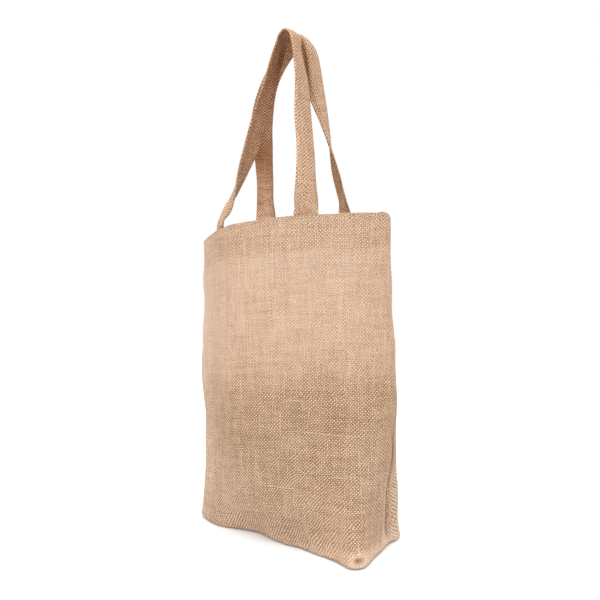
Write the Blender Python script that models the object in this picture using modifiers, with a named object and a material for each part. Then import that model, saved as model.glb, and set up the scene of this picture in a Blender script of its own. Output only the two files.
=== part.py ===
"""Jute tote bag: an open bag of plain-woven jute standing on its folded base, with two sewn-in strap handles.

The bag is one length of jute, folded under at the base, closed by two side seams and turned in at the
mouth as a doubled hem. Each handle is one strap, sewn flat inside the hem at both ends, and quarter-turned
on the way up so that it crosses its peak with its outer face up. The frame is X across the bag, -Y towards
the front panel and +Z up, with the origin on the floor under the middle of the whole bag. All lengths are in metres.

Places on the cloth are given by two numbers: how far round the bag, measured along the cloth from the
right side seam across the front panel, and how high up it, from 0 at the floor to 1 at the rim.
"""

import math

import bmesh
import bpy
from mathutils import Vector

# Driving dimensions
PANEL_WIDTH = 0.375         # one panel of cloth, from side seam to side seam
BASE_LENGTH = 0.264         # across the standing base
BASE_DEPTH = 0.126
BASE_MIDDLE = (0.0156, -0.0063)
BASE_CORNER = 0.011         # plan radius of the base's four corners
BASE_FOLD = 0.005           # radius with which the wall turns under the base
BASE_SEAM_RIGHT = 0.018     # how far behind the middle each side seam meets the floor
BASE_SEAM_LEFT = 0.004
CORNER_RIGHT = 0.042        # cloth at the rim between a side seam and the line up from a base corner
CORNER_LEFT = 0.056
LOFT_POWER = 4.5            # how soon above the floor the wall takes the rim's plan
CLOTH = 0.002               # one layer of jute
HEM_DEPTH = 0.047           # doubled cloth below the rim
HEM_STEP = 0.003            # height over which the second layer of the hem starts
STRAP_WIDTH = 0.032
STRAP_THICKNESS = 0.003
STRAP_SEWN = 0.034          # strap end that lies inside the hem
SEWN_GAP = 0.0003           # between a strap's end and the hem
FRONT_FEET = (0.108, 0.263) # right and left end of each handle, as distances round the bag
BACK_FEET = (0.626, 0.474)
LEG_START = 0.010           # above the rim, where a strap leaves the hem's plane

# Divisions of the meshes
AROUND = 96
UP_WALL = 12
FOLD_STEPS = 3
ACROSS_STRAP = 4
STRAP_STEP = 0.010

# Plan and height of the rim, at places going round from the right side seam across the front
RIM = (
    # place                 x        y        z
    ("right seam",           0.1506, -0.0013,  0.4160),
    ("front right foot",     0.0686, -0.0608,  0.4140),
    ("front fold",          -0.0364, -0.0853,  0.4040),
    ("front left foot",     -0.0914, -0.0563,  0.3970),
    ("left front",          -0.1304, -0.0313,  0.3900),
    ("left seam",           -0.1574, -0.0003,  0.3910),
    ("left back",           -0.1404,  0.0417,  0.4000),
    ("back left foot",      -0.0919,  0.0717,  0.4080),
    ("back middle",         -0.0224,  0.0867,  0.4130),
    ("back right foot",      0.0486,  0.0687,  0.4150),
)

# Folds and hollows of the wall, as soft swells that fade out from their middle; push is out of the bag
FOLDS = (
    # fold                 around   up      half round  half up  push
    ("right seam tuck",    0.000,   0.060,  0.010,      0.200,  -0.008),
    ("right side swell",   0.000,   0.450,  0.060,      0.280,   0.009),
    ("right back bulge",   0.722,   0.150,  0.022,      0.200,   0.005),
    ("near corner",        0.042,   0.000,  0.020,      0.060,   0.008),
    ("far right corner",   0.708,   0.000,  0.016,      0.080,  -0.008),
    ("left front crease",  0.212,   0.780,  0.010,      0.300,   0.002),
    ("left front hollow",  0.236,   0.800,  0.014,      0.250,  -0.003),
    ("left corner",        0.322,   0.020,  0.020,      0.140,  -0.005),
    ("left base swell",    0.272,   0.000,  0.024,      0.080,   0.006),
    ("left base wave",     0.205,   0.000,  0.026,      0.100,  -0.008),
    ("front base wave",    0.130,   0.000,  0.030,      0.080,  -0.004),
    ("left side draw",     0.345,   0.300,  0.050,      0.120,  -0.002),
    ("left side swell",    0.345,   0.500,  0.050,      0.160,   0.005),
    ("back base wave",     0.560,   0.000,  0.050,      0.120,  -0.006),
    ("back slack",         0.500,   0.550,  0.040,      0.300,   0.005),
)

# The way each handle takes between its feet, right leg first. Facing is the compass angle of the strap's
# outer face, from +X towards +Y, and lift is how far that face looks up, both in degrees.
FRONT_HANDLE = (
    # place               x        y        z       facing   lift
    ("right shin",         0.0696, -0.0593,  0.4500,  -22.0,    0.0),
    ("right knee",         0.0636, -0.0523,  0.4900,   -9.0,    0.0),
    ("right thigh",        0.0541, -0.0443,  0.5330,   -6.0,    5.0),
    ("right bend",         0.0461, -0.0338,  0.5860,    0.0,   25.0),
    ("right shoulder",     0.0341, -0.0258,  0.6330,    0.0,   50.0),
    ("peak",               0.0221, -0.0243,  0.6535,    0.0,   90.0),
    ("left shoulder",      0.0091, -0.0258,  0.6370,    0.0,  150.0),
    ("left bend",         -0.0024, -0.0338,  0.5960,    0.0,  166.0),
    ("left thigh",        -0.0144, -0.0463,  0.5420,   -5.0,  176.0),
    ("left knee",         -0.0272, -0.0557,  0.4950,   10.0,  180.0),
    ("left shin",         -0.0487, -0.0626,  0.4400,   38.0,  180.0),
    ("left ankle",        -0.0655, -0.0622,  0.4200,   48.0,  180.0),
)
BACK_HANDLE = (
    # place               x        y        z       facing   lift
    ("right shin",         0.0486,  0.0562,  0.4440,   51.0,    0.0),
    ("right knee",         0.0441,  0.0437,  0.4800,   48.0,    0.0),
    ("right thigh",        0.0381,  0.0307,  0.5350,   22.0,    0.0),
    ("right bend",         0.0296,  0.0197,  0.5850,    0.0,    8.0),
    ("right shoulder",     0.0216,  0.0112,  0.6350,    0.0,   30.0),
    ("peak",               0.0106,  0.0092,  0.6580,    0.0,   90.0),
    ("left shoulder",     -0.0144,  0.0102,  0.6430,    0.0,  130.0),
    ("left bend",         -0.0549,  0.0207,  0.6040,  -10.0,  152.0),
    ("left thigh",        -0.0774,  0.0337,  0.5600,  -45.0,  172.0),
    ("left knee",         -0.0874,  0.0497,  0.5160,  -80.0,  178.0),
    ("left shin",         -0.0954,  0.0647,  0.4560,  -88.0,  180.0),
)

# Names, and colours as red, green, blue with the roughness of the cloth
COLLECTION = "jute_tote_bag"
JUTE_PANEL = (0.60, 0.40, 0.26, 0.95)
JUTE_STRAP = (0.56, 0.36, 0.23, 0.95)


def clear_scene():
    """Remove every object, so that the scene holds this bag alone."""
    for obj in list(bpy.data.objects):
        bpy.data.objects.remove(obj, do_unlink=True)


def spline(keys, samples):
    """Points of a smooth curve through all the keys but the first and last, which only steer its ends.

    Each key is a tuple of numbers whose first three are a position. Knots follow the square root of the
    distance between positions, which keeps the curve free of loops.
    """
    knots = [0.0]
    for here, there in zip(keys, keys[1:]):
        knots.append(knots[-1] + max((Vector(there[:3]) - Vector(here[:3])).length, 1e-6) ** 0.5)
    points = []
    for index in range(1, len(keys) - 2):
        for step in range(samples):
            t = knots[index] + (knots[index + 1] - knots[index]) * step / samples
            points.append(spline_point(keys[index - 1:index + 3], knots[index - 1:index + 3], t))
    points.append(tuple(keys[-2]))
    return points


def spline_point(keys, knots, t):
    """One point between the middle two of four keys, by repeated blending."""
    level = [tuple(key) for key in keys]
    for span in (1, 2, 3):
        blended = []
        for index in range(len(level) - 1):
            if span == 3:
                low, high = knots[1], knots[2]
            else:
                low, high = knots[index], knots[index + span]
            share = (t - low) / (high - low)
            blended.append(tuple(a + (b - a) * share for a, b in zip(level[index], level[index + 1])))
        level = blended
    return level[0]


class Course:
    """A line through sampled points that is read by the share of its length."""

    def __init__(self, points):
        self.points = points
        self.lengths = [0.0]
        for here, there in zip(points, points[1:]):
            self.lengths.append(self.lengths[-1] + (Vector(there[:3]) - Vector(here[:3])).length)

    def at(self, share):
        """The point at a share of the length from 0 to 1."""
        want = min(max(share, 0.0), 1.0) * self.lengths[-1]
        index = 0
        while index < len(self.lengths) - 2 and self.lengths[index + 1] < want:
            index += 1
        span = self.lengths[index + 1] - self.lengths[index]
        part = (want - self.lengths[index]) / span if span else 0.0
        return tuple(a + (b - a) * part for a, b in zip(self.points[index], self.points[index + 1]))


def rim_courses():
    """The rim over the front panel and over the back panel, as two courses."""
    keys = [row[1:] for row in RIM]
    count = len(keys)
    left = [row[0] for row in RIM].index("left seam")
    samples = 24
    loop = spline([keys[-1]] + keys + keys[:2], samples)[:count * samples + 1]
    return Course(loop[:left * samples + 1]), Course(loop[left * samples:])


def base_courses():
    """The floor outline under the front panel and under the back panel, as two courses."""
    half_x = BASE_LENGTH / 2
    half_y = BASE_DEPTH / 2
    inner_x = half_x - BASE_CORNER
    inner_y = half_y - BASE_CORNER
    middle_x, middle_y = BASE_MIDDLE

    def corner(centre_x, centre_y, start):
        turns = [math.radians(start - 15.0 * step) for step in range(7)]
        return [(middle_x + centre_x + BASE_CORNER * math.cos(turn),
                 middle_y + centre_y + BASE_CORNER * math.sin(turn), 0.0) for turn in turns]

    right = (middle_x + half_x, middle_y + BASE_SEAM_RIGHT, 0.0)
    left = (middle_x - half_x, middle_y + BASE_SEAM_LEFT, 0.0)
    front = [right] + corner(inner_x, -inner_y, 0.0) + corner(-inner_x, -inner_y, -90.0) + [left]
    back = [left] + corner(-inner_x, inner_y, 180.0) + corner(inner_x, inner_y, 90.0) + [right]
    return Course(front), Course(back)


def base_landmarks(course, right_side, first_corner, second_corner):
    """Pairs of cloth distance from a panel's start and floor distance, at its seams and base corners."""
    half_turn = math.pi / 4 * BASE_CORNER
    straight = BASE_LENGTH - 2 * BASE_CORNER
    first = right_side - BASE_CORNER + half_turn
    second = first + straight + 2 * half_turn
    return ((0.0, 0.0), (first_corner, first), (second_corner, second), (PANEL_WIDTH, course.lengths[-1]))


RIM_FRONT, RIM_BACK = rim_courses()
BASE_FRONT, BASE_BACK = base_courses()
FRONT_MARKS = base_landmarks(BASE_FRONT, BASE_DEPTH / 2 + BASE_SEAM_RIGHT, CORNER_RIGHT,
                             PANEL_WIDTH - CORNER_LEFT)
BACK_MARKS = base_landmarks(BASE_BACK, BASE_DEPTH / 2 - BASE_SEAM_LEFT, CORNER_LEFT,
                            PANEL_WIDTH - CORNER_RIGHT)


def between(marks, value, known, wanted):
    """Read one column of paired landmarks from the other, along straight steps."""
    for low, high in zip(marks, marks[1:]):
        if value <= high[known]:
            break
    part = (value - low[known]) / (high[known] - low[known])
    return low[wanted] + (high[wanted] - low[wanted]) * part


def outlines(around):
    """The floor point and the rim point at a distance round the bag."""
    around %= 2 * PANEL_WIDTH
    if around <= PANEL_WIDTH:
        base, rim, marks = BASE_FRONT, RIM_FRONT, FRONT_MARKS
    else:
        base, rim, marks = BASE_BACK, RIM_BACK, BACK_MARKS
        around -= PANEL_WIDTH
    floor = between(marks, around, 0, 1) / base.lengths[-1]
    return Vector(base.at(floor)), Vector(rim.at(around / PANEL_WIDTH))


def columns():
    """Distances round the bag of the columns of its mesh, evenly spaced on the floor."""
    panels = ((BASE_FRONT, FRONT_MARKS, 0.0), (BASE_BACK, BACK_MARKS, PANEL_WIDTH))
    floor = sum(base.lengths[-1] for base, _, _ in panels)
    places = []
    for base, marks, start in panels:
        count = round(AROUND * base.lengths[-1] / floor)
        for step in range(count):
            places.append(start + between(marks, base.lengths[-1] * step / count, 1, 0))
    return places


def plain_wall(around, up):
    """The wall's outer face without its folds."""
    floor, rim = outlines(around)
    blend = 1.0 - (1.0 - min(up, 1.0)) ** LOFT_POWER
    point = floor.lerp(rim, blend)
    point.z = rim.z * up
    return point


def outward(around, up):
    """The level direction out of the bag."""
    reach = 0.006
    along = plain_wall(around + reach, up) - plain_wall(around - reach, up)
    return Vector((-along.y, along.x, 0.0)).normalized()


def wall(around, up):
    """The wall's outer face."""
    push = 0.0
    for _, fold_around, fold_up, half_around, half_up, fold_push in FOLDS:
        gap = (around - fold_around + PANEL_WIDTH) % (2 * PANEL_WIDTH) - PANEL_WIDTH
        push += fold_push * math.exp(-(gap / half_around) ** 2 - ((up - fold_up) / half_up) ** 2)
    return plain_wall(around, up) + outward(around, up) * push


def material(name, finish):
    """A Principled material of one colour and roughness."""
    made = bpy.data.materials.new(name)
    made.use_nodes = True
    shader = made.node_tree.nodes["Principled BSDF"]
    red, green, blue, roughness = finish
    shader.inputs["Base Color"].default_value = (red, green, blue, 1.0)
    shader.inputs["Roughness"].default_value = roughness
    shader.inputs["Metallic"].default_value = 0.0
    made.diffuse_color = (red, green, blue, 1.0)
    return made


def add_object(name, mesh, finish, collection):
    """Put a mesh in the scene as a smooth-shaded object with its own material."""
    mesh.shade_smooth()
    mesh.materials.append(material(name + "_cloth", finish))
    obj = bpy.data.objects.new(name, mesh)
    collection.objects.link(obj)
    return obj


def wall_heights():
    """Heights of the rows of the wall, each with how far the row is drawn in and how many layers it has."""
    rim = min(row[3] for row in RIM)
    rows = []
    for step in range(FOLD_STEPS):
        angle = math.radians(90.0 * step / FOLD_STEPS)
        rows.append((BASE_FOLD * (1.0 - math.cos(angle)) / rim, BASE_FOLD * (1.0 - math.sin(angle)), 1))
    hem = 1.0 - (HEM_DEPTH + HEM_STEP) / rim
    start = BASE_FOLD / rim
    for step in range(UP_WALL + 1):
        rows.append((start + (hem - start) * (step / UP_WALL) ** 1.25, 0.0, 1))
    for below in (HEM_DEPTH, HEM_DEPTH * 2 / 3, HEM_DEPTH / 3, 0.0):
        rows.append((1.0 - below / rim, 0.0, 2))
    return rows


def add_body(collection):
    """The bag of cloth: walls and base as one open skin, thickened inwards and twice as thick in the hem."""
    bm = bmesh.new()
    rings = []
    layers = {}
    places = columns()
    for up, drawn_in, count in wall_heights():
        ring = []
        for around in places:
            point = wall(around, up) - outward(around, up) * drawn_in
            vertex = bm.verts.new(point)
            layers[vertex] = count
            ring.append(vertex)
        rings.append(ring)
    for low, high in zip(rings, rings[1:]):
        for index in range(len(places)):
            after = (index + 1) % len(places)
            bm.faces.new((low[after], low[index], high[index], high[after]))
    bm.faces.new(rings[0])
    bm.verts.index_update()
    weights = [(vertex.index, count / 2) for vertex, count in layers.items()]
    bmesh.ops.recalc_face_normals(bm, faces=bm.faces)
    mesh = bpy.data.meshes.new("bag_body")
    bm.to_mesh(mesh)
    bm.free()
    obj = add_object("bag_body", mesh, JUTE_PANEL, collection)
    group = obj.vertex_groups.new(name="layers of cloth")
    for index, weight in weights:
        group.add([index], weight, 'REPLACE')
    shell = obj.modifiers.new("cloth thickness", 'SOLIDIFY')
    shell.thickness = 2 * CLOTH
    shell.offset = -1.0
    shell.vertex_group = group.name
    shell.use_even_offset = True
    return obj


def foot_row(around, side, above_rim):
    """Points across a strap's end where it lies against the hem's inner face.

    The points run from the strap's left edge to its right edge as it is followed upwards, seen from
    outside the bag; side is 1 for that order and -1 for the other.
    """
    row = []
    for step in range(ACROSS_STRAP + 1):
        offset = STRAP_WIDTH * (0.5 - step / ACROSS_STRAP) * side
        _, rim = outlines(around + offset)
        up = 1.0 + above_rim / rim.z
        inwards = 2 * CLOTH + SEWN_GAP + STRAP_THICKNESS / 2
        row.append(wall(around + offset, up) - outward(around + offset, up) * inwards)
    return row


def middle(row):
    """The middle point of a row across a strap."""
    return row[len(row) // 2]


def leg_rows(route, right, left):
    """Rows across the strap between its feet, from points on a smooth curve and the way its face turns."""
    keys = []
    for above_rim in (-LEG_START, LEG_START):
        keys.append(foot_key(right, 1, above_rim))
    keys += [tuple(row[1:4]) + face_direction(row[4], row[5]) for row in route]
    for above_rim in (LEG_START, -LEG_START):
        keys.append(foot_key(left, -1, above_rim))
    course = Course(spline(keys, 12))
    count = round(course.lengths[-1] / STRAP_STEP)
    points = [course.at(step / count) for step in range(count + 1)]
    rows = []
    for index, point in enumerate(points):
        before = Vector(points[max(index - 1, 0)][:3])
        after = Vector(points[min(index + 1, count)][:3])
        tangent = (after - before).normalized()
        across = tangent.cross(Vector(point[3:])).normalized()
        centre = Vector(point[:3])
        rows.append([centre + across * STRAP_WIDTH * (step / ACROSS_STRAP - 0.5)
                     for step in range(ACROSS_STRAP + 1)])
    return rows


def foot_key(around, side, above_rim):
    """A key of the strap's curve at one of its feet."""
    return tuple(middle(foot_row(around, side, above_rim))) + tuple(outward(around, 1.0))


def face_direction(facing, lift):
    """The direction of a strap's outer face from its compass angle and its lift."""
    turn = math.radians(facing)
    rise = math.radians(lift)
    return (math.cos(turn) * math.cos(rise), math.sin(turn) * math.cos(rise), math.sin(rise))


def add_handle(name, route, feet, collection):
    """One handle strap, from its right foot to its left."""
    right, left = feet
    below = (-STRAP_SEWN, -STRAP_SEWN * 2 / 3, -STRAP_SEWN / 3, 0.0)
    rows = [foot_row(right, 1, above_rim) for above_rim in below]
    rows += leg_rows(route, right, left)
    rows += [foot_row(left, -1, above_rim) for above_rim in reversed(below)]
    bm = bmesh.new()
    grid = [[bm.verts.new(point) for point in row] for row in rows]
    for low, high in zip(grid, grid[1:]):
        for step in range(ACROSS_STRAP):
            bm.faces.new((low[step], low[step + 1], high[step + 1], high[step]))
    mesh = bpy.data.meshes.new(name)
    bm.to_mesh(mesh)
    bm.free()
    obj = add_object(name, mesh, JUTE_STRAP, collection)
    strap = obj.modifiers.new("strap thickness", 'SOLIDIFY')
    strap.thickness = STRAP_THICKNESS
    strap.offset = 0.0
    return obj


def main():
    """Build the bag and its two handles."""
    clear_scene()
    collection = bpy.data.collections.new(COLLECTION)
    bpy.context.scene.collection.children.link(collection)
    add_body(collection)
    add_handle("front_handle", FRONT_HANDLE, FRONT_FEET, collection)
    add_handle("back_handle", BACK_HANDLE, BACK_FEET, collection)


main()
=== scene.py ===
"""Looks of a jute tote bag that stands on its folded base, with two strap handles sewn inside its hem.

The cloth is one continuous sheet: it runs from the underside of the base up the outside of the wall, turns
over the rim and comes down inside as the hem. Places on the wall are given by two numbers: how far round the
bag, measured along the cloth from the right side seam across the front panel, and how high up it, from 0 at
the floor to 1 at the rim. Lengths are in metres, with X across the bag, -Y towards the front and +Z up.
"""

import logging
import math
from dataclasses import dataclass
from enum import Enum
from typing import Dict, List, Optional, Sequence, Tuple

import bpy
import numpy as np
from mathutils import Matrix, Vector

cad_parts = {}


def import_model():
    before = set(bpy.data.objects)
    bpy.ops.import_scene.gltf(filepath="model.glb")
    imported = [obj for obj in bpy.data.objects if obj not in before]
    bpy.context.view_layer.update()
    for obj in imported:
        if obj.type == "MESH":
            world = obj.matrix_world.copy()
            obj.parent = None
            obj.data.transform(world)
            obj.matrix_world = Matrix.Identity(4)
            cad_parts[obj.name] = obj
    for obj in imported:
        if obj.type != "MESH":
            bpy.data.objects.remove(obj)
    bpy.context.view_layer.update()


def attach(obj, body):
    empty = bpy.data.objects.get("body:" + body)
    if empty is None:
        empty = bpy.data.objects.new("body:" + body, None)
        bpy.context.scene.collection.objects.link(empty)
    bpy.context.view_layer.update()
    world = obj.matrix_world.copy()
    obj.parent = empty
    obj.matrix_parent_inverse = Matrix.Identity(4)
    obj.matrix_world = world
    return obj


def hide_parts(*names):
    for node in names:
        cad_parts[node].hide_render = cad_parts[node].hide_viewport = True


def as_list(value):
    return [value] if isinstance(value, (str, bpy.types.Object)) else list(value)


LOG = logging.getLogger("jute_tote_bag")
CLOTH_MAP = "cloth"
TONE = "tone"
COARSE = "coarse"
# The cloth's width between the side seams, and the whole way round the bag.
PANEL = 0.375
LOOP = 2 * PANEL
# The wall's usual height, for weighing a share of it against a length.
WALL_HEIGHT = 0.41
# On the cloth map a strap's inner face lies this far beside its outer face.
INNER_SHIFT = 0.2

Colour = Tuple[float, float, float]
Point = Tuple[float, ...]
Wave = Tuple[float, float, float]
Socket = bpy.types.NodeSocket


class Face(Enum):
    """The two faces of a strap."""

    OUTER = "outer"
    INNER = "inner"


def loop_gap(around: np.ndarray, centre: float) -> np.ndarray:
    """Give the signed distance round the bag from a centre, the shorter way."""
    return np.mod(around - centre + LOOP / 2, LOOP) - LOOP / 2


def wavy(level: float, place: np.ndarray, waves: Sequence[Wave]) -> np.ndarray:
    """Give a level with waves on it.

    Args:
        level: the value that the waves stand on.
        place: where to read it.
        waves: height, pace and start of each wave.

    Returns:
        The value at every place.
    """
    total = level
    for height, pace, start in waves:
        total = total + height * np.sin(place * pace + start)
    return total


@dataclass(frozen=True)
class Spot:
    """A soft spot of the wall: it adds its amount at its middle and fades out around it."""

    name: str
    around: float
    up: float
    half_round: float
    half_up: float
    amount: float

    def weight(self, around: np.ndarray, up: np.ndarray) -> np.ndarray:
        """Give what the spot adds at places of the wall."""
        gap = loop_gap(around, self.around)
        return self.amount * np.exp(-(gap / self.half_round) ** 2 - ((up - self.up) / self.half_up) ** 2)


@dataclass(frozen=True)
class Crease:
    """A soft ridge or trough of the cloth along a straight line between two places."""

    name: str
    start: Tuple[float, float]
    end: Tuple[float, float]
    half_width: float
    height: float

    def push(self, around: np.ndarray, up: np.ndarray) -> np.ndarray:
        """Give how far the crease lifts the cloth, fading out from its line.

        Args:
            around: distances round the bag.
            up: shares of the wall's height.

        Returns:
            The lift at every place, negative in a trough.
        """
        x = loop_gap(around, self.start[0])
        y = (up - self.start[1]) * WALL_HEIGHT
        reach_x = self.end[0] - self.start[0]
        reach_y = (self.end[1] - self.start[1]) * WALL_HEIGHT
        share = np.clip((x * reach_x + y * reach_y) / (reach_x ** 2 + reach_y ** 2), 0.0, 1.0)
        gap = np.hypot(x - share * reach_x, y - share * reach_y)
        return self.height * np.exp(-(gap / self.half_width) ** 2)


@dataclass(frozen=True)
class RimChange:
    """A small rise or notch of the rim."""

    name: str
    around: float
    half_round: float
    rise: float

    def lift(self, around: np.ndarray) -> np.ndarray:
        """Give how far it lifts the rim."""
        return self.rise * np.exp(-(loop_gap(around, self.around) / self.half_round) ** 2)


# The drape, as in the solids that the cloth is laid on.
RIM = (
    # place                 x        y        z
    ("right seam",           0.1506, -0.0013,  0.4160),
    ("front right foot",     0.0686, -0.0608,  0.4140),
    ("front fold",          -0.0364, -0.0853,  0.4040),
    ("front left foot",     -0.0914, -0.0563,  0.3970),
    ("left front",          -0.1304, -0.0313,  0.3900),
    ("left seam",           -0.1574, -0.0003,  0.3910),
    ("left back",           -0.1404,  0.0417,  0.4000),
    ("back left foot",      -0.0919,  0.0717,  0.4080),
    ("back middle",         -0.0224,  0.0867,  0.4130),
    ("back right foot",      0.0486,  0.0687,  0.4150),
)
FOLDS = (
    #    fold                  around   up      half round  half up  push
    Spot("right seam tuck",    0.000,   0.060,  0.010,      0.200,  -0.008),
    Spot("right side swell",   0.000,   0.450,  0.060,      0.280,   0.009),
    Spot("right back bulge",   0.722,   0.150,  0.022,      0.200,   0.005),
    Spot("near corner",        0.042,   0.000,  0.020,      0.060,   0.008),
    Spot("far right corner",   0.708,   0.000,  0.016,      0.080,  -0.008),
    Spot("left front crease",  0.212,   0.780,  0.010,      0.300,   0.002),
    Spot("left front hollow",  0.236,   0.800,  0.014,      0.250,  -0.003),
    Spot("left corner",        0.322,   0.020,  0.020,      0.140,  -0.005),
    Spot("left base swell",    0.272,   0.000,  0.024,      0.080,   0.006),
    Spot("left base wave",     0.205,   0.000,  0.026,      0.100,  -0.008),
    Spot("front base wave",    0.130,   0.000,  0.030,      0.080,  -0.004),
    Spot("left side draw",     0.345,   0.300,  0.050,      0.120,  -0.002),
    Spot("left side swell",    0.345,   0.500,  0.050,      0.160,   0.005),
    Spot("back base wave",     0.560,   0.000,  0.050,      0.120,  -0.006),
    Spot("back slack",         0.500,   0.550,  0.040,      0.300,   0.005),
)

# What the cloth has beyond the solids' drape.
RIM_CHANGES = (
    #         place                  around   half round  rise
    RimChange("right seam peak",      0.0110,  0.0050,     0.0015),
    RimChange("right seam notch",    -0.0070,  0.0070,    -0.0060),
    RimChange("left seam notch",      0.3800,  0.0080,    -0.0020),
    RimChange("front wave one",       0.0800,  0.0160,    -0.0006),
    RimChange("front wave two",       0.1500,  0.0180,     0.0006),
    RimChange("front wave three",     0.2300,  0.0140,    -0.0007),
    RimChange("back wave one",        0.5400,  0.0200,    -0.0007),
)
CREASES = (
    #      crease               from              to                half width  height
    Crease("seam ridge",        (0.0060, 0.30),   (0.0056, 0.04),   0.0022,     0.0014),
    Crease("seam trough",       (-0.0018, 0.36),  (-0.0006, 0.03),  0.0016,    -0.0020),
    Crease("foot of the tuck",  (0.0000, -0.02),  (0.0000, 0.00),   0.0130,     0.0060),
    Crease("corner dimple",     (0.0420, 0.0205), (0.0420, 0.0215), 0.0032,    -0.0036),
    Crease("dimple rim",        (0.0420, 0.0205), (0.0420, 0.0215), 0.0080,     0.0012),
    Crease("left upper fold",   (0.2180, 0.97),   (0.2200, 0.62),   0.0050,     0.0014),
    Crease("left upper trough", (0.2260, 0.96),   (0.2290, 0.66),   0.0045,    -0.0014),
    Crease("left band fold",    (0.2900, 0.95),   (0.3050, 0.40),   0.0100,     0.0014),
    Crease("slanting pull",     (0.2160, 0.42),   (0.1560, 0.12),   0.0140,    -0.0014),
    Crease("belly wave",        (0.1800, 0.50),   (0.1100, 0.44),   0.0180,     0.0010),
    Crease("low wave",          (0.2420, 0.16),   (0.1500, 0.09),   0.0100,     0.0013),
    Crease("corner pull",       (0.0650, 0.05),   (0.1040, 0.20),   0.0100,    -0.0011),
    Crease("side pull",         (0.0200, 0.34),   (0.0360, 0.10),   0.0080,     0.0012),
    Crease("base pucker one",   (0.0900, 0.00),   (0.0940, 0.05),   0.0060,    -0.0014),
    Crease("base pucker two",   (0.1500, 0.00),   (0.1460, 0.04),   0.0070,     0.0012),
    Crease("base pucker three", (0.2300, 0.00),   (0.2360, 0.05),   0.0060,    -0.0012),
    Crease("hem fold",          (0.0100, 0.893),  (0.3650, 0.893),  0.0016,    -0.0006),
    Crease("back hem fold",     (0.3850, 0.893),  (0.7400, 0.893),  0.0016,    -0.0006),
    Crease("back slant",        (0.6500, 0.60),   (0.5900, 0.22),   0.0150,    -0.0016),
    Crease("back low fold",     (0.4800, 0.20),   (0.5600, 0.10),   0.0120,     0.0015),
    Crease("back upper fold",   (0.4400, 0.90),   (0.4500, 0.55),   0.0090,     0.0013),
)

# How much lighter or darker the cloth is painted, with painted shade and painted light in it, and how much
# rougher it is than the rest.
PAINTED_LIGHT_AND_TONES = (
    #    spot                 around   up      half round  half up  amount
    # Painted highlight on the dimple's raised rim and painted shade in the dimple.
    Spot("painted highlight round the dimple",       0.0420,  0.0210, 0.0062,     0.0150,   0.04),
    Spot("dimple",            0.0420,  0.0210, 0.0036,     0.0085,  -0.80),
    # Painted shadow down the seam's groove, painted highlight on its ridge and painted light on the side
    # behind the seam.
    Spot("painted seam shadow, high", -0.0018, 0.2950, 0.0017,     0.0700,  -0.62),
    Spot("painted seam shadow, mid",  -0.0010, 0.1700, 0.0014,     0.0600,  -0.35),
    Spot("painted seam shadow, low",  -0.0008, 0.0500, 0.0016,     0.0250,  -0.45),
    Spot("seam ridge",        0.0058,  0.1300, 0.0020,     0.1300,   0.14),
    Spot("painted light behind the seam",   -0.0180, 0.1500, 0.0140,     0.2000,   0.50),
    # Broader patches: lighter low on the front and on the left band, darker near the corner, on the upper
    # front, on the left band's top and on the right strip.
    Spot("lower front",       0.1500,  0.1500, 0.1600,     0.2800,   0.085),
    Spot("low front, left",   0.2400,  0.1000, 0.0450,     0.1500,   0.17),
    Spot("low front, right",  0.0230,  0.1600, 0.0230,     0.2200,   0.16),
    Spot("near corner",       0.0450,  0.0600, 0.0350,     0.0800,  -0.13),
    # Painted light from the bright floor along the base's edge.
    Spot("right base edge",   0.0150,  0.0100, 0.0300,     0.0250,   0.12),
    Spot("near base edge",    0.1100,  0.0150, 0.1000,     0.0300,   0.12),
    Spot("upper front",       0.1500,  0.6500, 0.1300,     0.1500,  -0.03),
    Spot("left band, low",    0.3100,  0.2000, 0.0400,     0.2500,   0.18),
    # Painted shadow beside the left fold and painted highlights along the fold lines near it.
    Spot("painted shadow of the left fold",    0.2170,  0.8300, 0.0020,     0.1100,  -0.10),
    Spot("painted highlight streak, high", 0.2600,  0.8400, 0.0035,     0.1000,   0.09),
    Spot("painted highlight streak, low",  0.2360,  0.7500, 0.0025,     0.0800,   0.07),
    Spot("left band, top",    0.2800,  0.8500, 0.0500,     0.1500,  -0.06),
    Spot("right strip",       0.0150,  0.7000, 0.0250,     0.2200,  -0.10),
)
ROUGH_SPOTS = (
    #    spot                 around   up      half round  half up  amount
    Spot("dimple",            0.0420,  0.0210, 0.0070,     0.0160,  -0.90),
    Spot("left band",         0.3250,  0.5000, 0.0450,     0.7000,  -0.35),
    Spot("near base edge",    0.1000,  0.0000, 0.1200,     0.0300,  -0.35),
    Spot("right base edge",   0.0000,  0.0000, 0.0350,     0.0500,  -0.45),
    Spot("seam ridge",        0.0058,  0.1300, 0.0025,     0.1300,  -0.40),
    Spot("coarse dark belly", 0.0900,  0.3600, 0.0700,     0.1200,   0.15),
    Spot("right strip, low",  0.0220,  0.1900, 0.0240,     0.1400,   0.15),
    Spot("near corner",       0.0480,  0.0700, 0.0350,     0.0900,  -0.22),
    Spot("above the middle",  0.1400,  0.4700, 0.1100,     0.0350,   0.12),
)


def smooth_curve(keys: Sequence[Point], samples: int) -> np.ndarray:
    """Sample a smooth curve through all the keys but the first and last, which only steer its ends.

    Args:
        keys: tuples of numbers whose first three are a position.
        samples: points taken between one key and the next.

    Returns:
        One row of numbers for each sampled point.
    """
    smallest = 1e-6
    rows = np.array(keys, float)
    gaps = np.sqrt(np.maximum(np.linalg.norm(np.diff(rows[:, :3], axis=0), axis=1), smallest))
    knots = np.concatenate(([0.0], np.cumsum(gaps)))
    points = []
    for index in range(1, len(rows) - 2):
        for step in range(samples):
            t = knots[index] + (knots[index + 1] - knots[index]) * step / samples
            points.append(blended(rows[index - 1:index + 3], knots[index - 1:index + 3], t))
    points.append(rows[-2])
    return np.array(points)


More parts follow.
